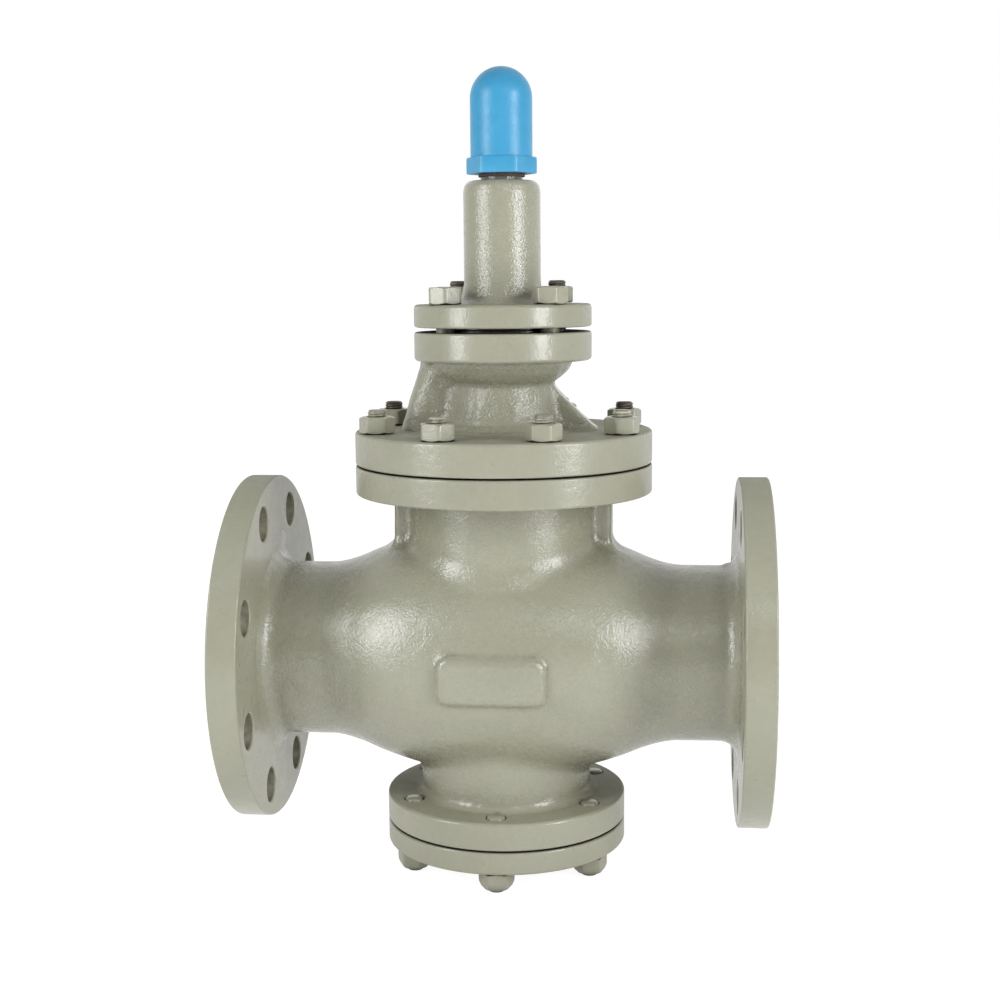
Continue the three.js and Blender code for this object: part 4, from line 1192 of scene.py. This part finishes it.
def make_adjusting_screw():
    """A threaded shank with a square head."""
    bottom, top = levels("adjusting_screw")
    half, edge, head_h, sunk = 4.0, 0.6, 10, 2
    head_z = top - head_h - sunk
    shank = stud_shape(top - head_h - bottom, [(3, head_z - bottom)])
    corners = [(half, -half, edge), (half, half, edge), (-half, half, edge), (-half, -half, edge)]
    section = rounded(corners, True)
    rows = [[(0.0, 0.0, head_z)]]
    for z, shrink in ((head_z, 0), (top - 0.7, 0), (top - 0.2, 0.12), (top, 0.25)):
        rows.append([(a * (1 - shrink / 2), b * (1 - shrink / 2), z) for a, b in section])
    rows.append([(0.0, 0.0, top)])
    obj = combine("Adjusting_screw", moved(shank, z=bottom), [("UNION", skin(rows, False))])
    return stand_in(obj, "adjusting_screw", "dark_steel")


make_adjusting_screw()

bottom, top = levels("lock_nut")
lock_nut = nut_shape(flats=18, height=top - bottom, hole=6.3, turn=0)
piece("lock_nut", moved(lock_nut, z=bottom), "dark_steel")


def spring(node, mean, wire, turns):
    anchor, top = levels(node)
    shape = coil_shape(mean, wire, anchor, top, turns)
    obj = piece(node, shape, "spring_steel", sharp_degrees=60, weighted=False)
    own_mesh(obj)


spring("main_spring", mean=17, wire=2.3, turns=6)
spring("pilot_spring", mean=5, wire=0.8, turns=4)
spring("adjusting_spring", mean=15.9, wire=2.5, turns=5)


def fasteners(label, turns, looks, threads, slot):
    """The studs and nuts of one joint, each standing for its own CAD node. turns are the
    nuts' angles in degrees; looks are a material and a shortening in millimetres per stud."""
    bottom, top = levels(f"{label}_stud_1")
    nut_bottom, nut_top = levels(f"{label}_nut_1")
    for i, (degrees, (material, shorter)) in enumerate(zip(turns, looks), 1):
        x, y, _ = centre_of(f"{label}_stud_{i}")
        length = top - bottom - shorter
        stud = stud_shape(length, [(start, min(end, length - 0.1)) for start, end in threads])
        at = (x, y, bottom)
        piece(f"{label}_stud_{i}", stud, slot, material, sharp_degrees=50, weighted=False, location=at)
        turn, worn_below = math.radians(degrees), label == "bottom"
        nut = nut_shape(NUT_FLATS, nut_top - nut_bottom, NUT_HOLE_R, turn, worn_below)
        piece(f"{label}_nut_{i}", nut, "paint", PAINT_MACHINED, location=(x, y, nut_bottom))


bare = MATERIALS["dark_steel"]
fasteners(
    "bonnet",
    [12, 47, 25, 52, 4, 41, 56, 16],
    [*[(bare, r) for r in (0.3, 0.8, 0, 0)], *[(OVERSPRAYED, r) for r in (0.6, 1.6, 0, 0.5)]],
    [(30, 52.7)],
    "dark_steel",
)
fasteners(
    "housing",
    [40, 8, 38, 54],
    [(bare, 0), (bare, 0), (OVERSPRAYED, 3.6), (OVERSPRAYED, 3.6)],
    [(26, 46.9)],
    "dark_steel",
)
fasteners("bottom", [15, 50, 33, 56, 6, 8], [(PAINT_MACHINED, 0)] * 6, [], "paint")


# ---------- Studio


def seen_or_lit(tree, kind, seen, lit):
    """One shader for what the camera sees and another for the light that bounces."""
    seen_by_camera = add_node(tree, "LightPath").outputs["Is Camera Ray"]
    mix = add_node(tree, "MixShader", {"Fac": seen_by_camera, 1: lit, 2: seen})
    add_node(tree, "Output" + kind, {"Surface": mix.outputs["Shader"]})


def make_floor():
    """A white floor that shows faint shadows and bounces light back up."""
    material = bpy.data.materials.new("Floor")
    material.use_nodes = True
    tree = material.node_tree
    tree.nodes.clear()
    sides = []
    for shade, glow in ((0.3, 0.92), (0.8, 0.3)):
        diffuse = add_node(tree, "BsdfDiffuse", {"Color": (shade, shade, shade, 1)})
        emission = add_node(tree, "Emission", {"Strength": glow})
        shaders = {0: diffuse.outputs["BSDF"], 1: emission.outputs["Emission"]}
        sides.append(add_node(tree, "AddShader", shaders).outputs["Shader"])
    seen_or_lit(tree, "Material", *sides)
    half = 60_000
    points = [(-half, -half, 0), (half, -half, 0), (half, half, 0), (-half, half, 0)]
    floor = new_object("Floor", new_mesh("Floor", points, [(0, 1, 2, 3)]), weighted=False)
    floor.data.materials.append(material)


def make_world(front, back, above):
    """White to the camera; to everything else a dim room whose back wall and ceiling glow."""
    world = bpy.data.worlds.new("Studio")
    bpy.context.scene.world = world
    world.use_nodes = True
    tree = world.node_tree
    tree.nodes.clear()
    white = {"Color": (1, 1, 1, 1)}
    direction = add_node(tree, "TexCoord").outputs["Generated"]
    split = add_node(tree, "SeparateXYZ", {0: direction})
    strength = front
    for axis, glow in (("Y", back - front), ("Z", above)):
        share = add_node(tree, "MapRange", {"Value": split.outputs[axis], "To Max": glow})
        strength = add_node(tree, "Math", {0: share.outputs["Result"], 1: strength}).outputs[0]
    seen = add_node(tree, "Background", white)
    lit = add_node(tree, "Background", {**white, "Strength": strength})
    seen_or_lit(tree, "World", seen.outputs["Background"], lit.outputs["Background"])


def softbox(name, azimuth, height, width, tall, power):
    """A soft rectangular light that faces the valve's middle; azimuth 0 is in front (-Y)."""
    light = bpy.data.lights.new(name, "AREA")
    light.shape = "RECTANGLE"
    light.size = width
    light.size_y = tall
    light.energy = power
    light.color = (0.965, 0.975, 1)
    obj = bpy.data.objects.new(name, light)
    bpy.context.scene.collection.objects.link(obj)
    a = math.radians(azimuth)
    distance = 1.35
    obj.location = (math.sin(a) * distance, -math.cos(a) * distance, height)
    target = Vector((0, 0, 0.26))
    obj.rotation_mode = "QUATERNION"
    obj.rotation_quaternion = (target - obj.location).to_track_quat("-Z", "Y")
    obj.visible_camera = False


def make_camera():
    data = bpy.data.cameras.new("Camera")
    data.sensor_width = 36
    data.lens = 56.345
    camera = bpy.data.objects.new("Camera", data)
    bpy.context.scene.collection.objects.link(camera)
    camera.location = (0.10475, -1.0237, 0.38705)
    camera.rotation_mode = "QUATERNION"
    level = Vector((-0.1035, 0.9850, -0.1379)).to_track_quat("-Z", "Y")
    roll = Quaternion((0, 0, 1), math.radians(-0.478))
    camera.rotation_quaternion = level @ roll
    bpy.context.scene.camera = camera


make_floor()
make_world(front=0.2, back=1.0, above=0.12)
softbox("Left_softbox", azimuth=-52, height=0.64, width=0.46, tall=0.9, power=11)
softbox("Right_softbox", azimuth=56, height=0.56, width=0.42, tall=0.8, power=12)
softbox("Front_softbox", azimuth=22, height=1.15, width=0.17, tall=0.17, power=1.7)
make_camera()
bpy.context.scene.view_settings.view_transform = "Standard"
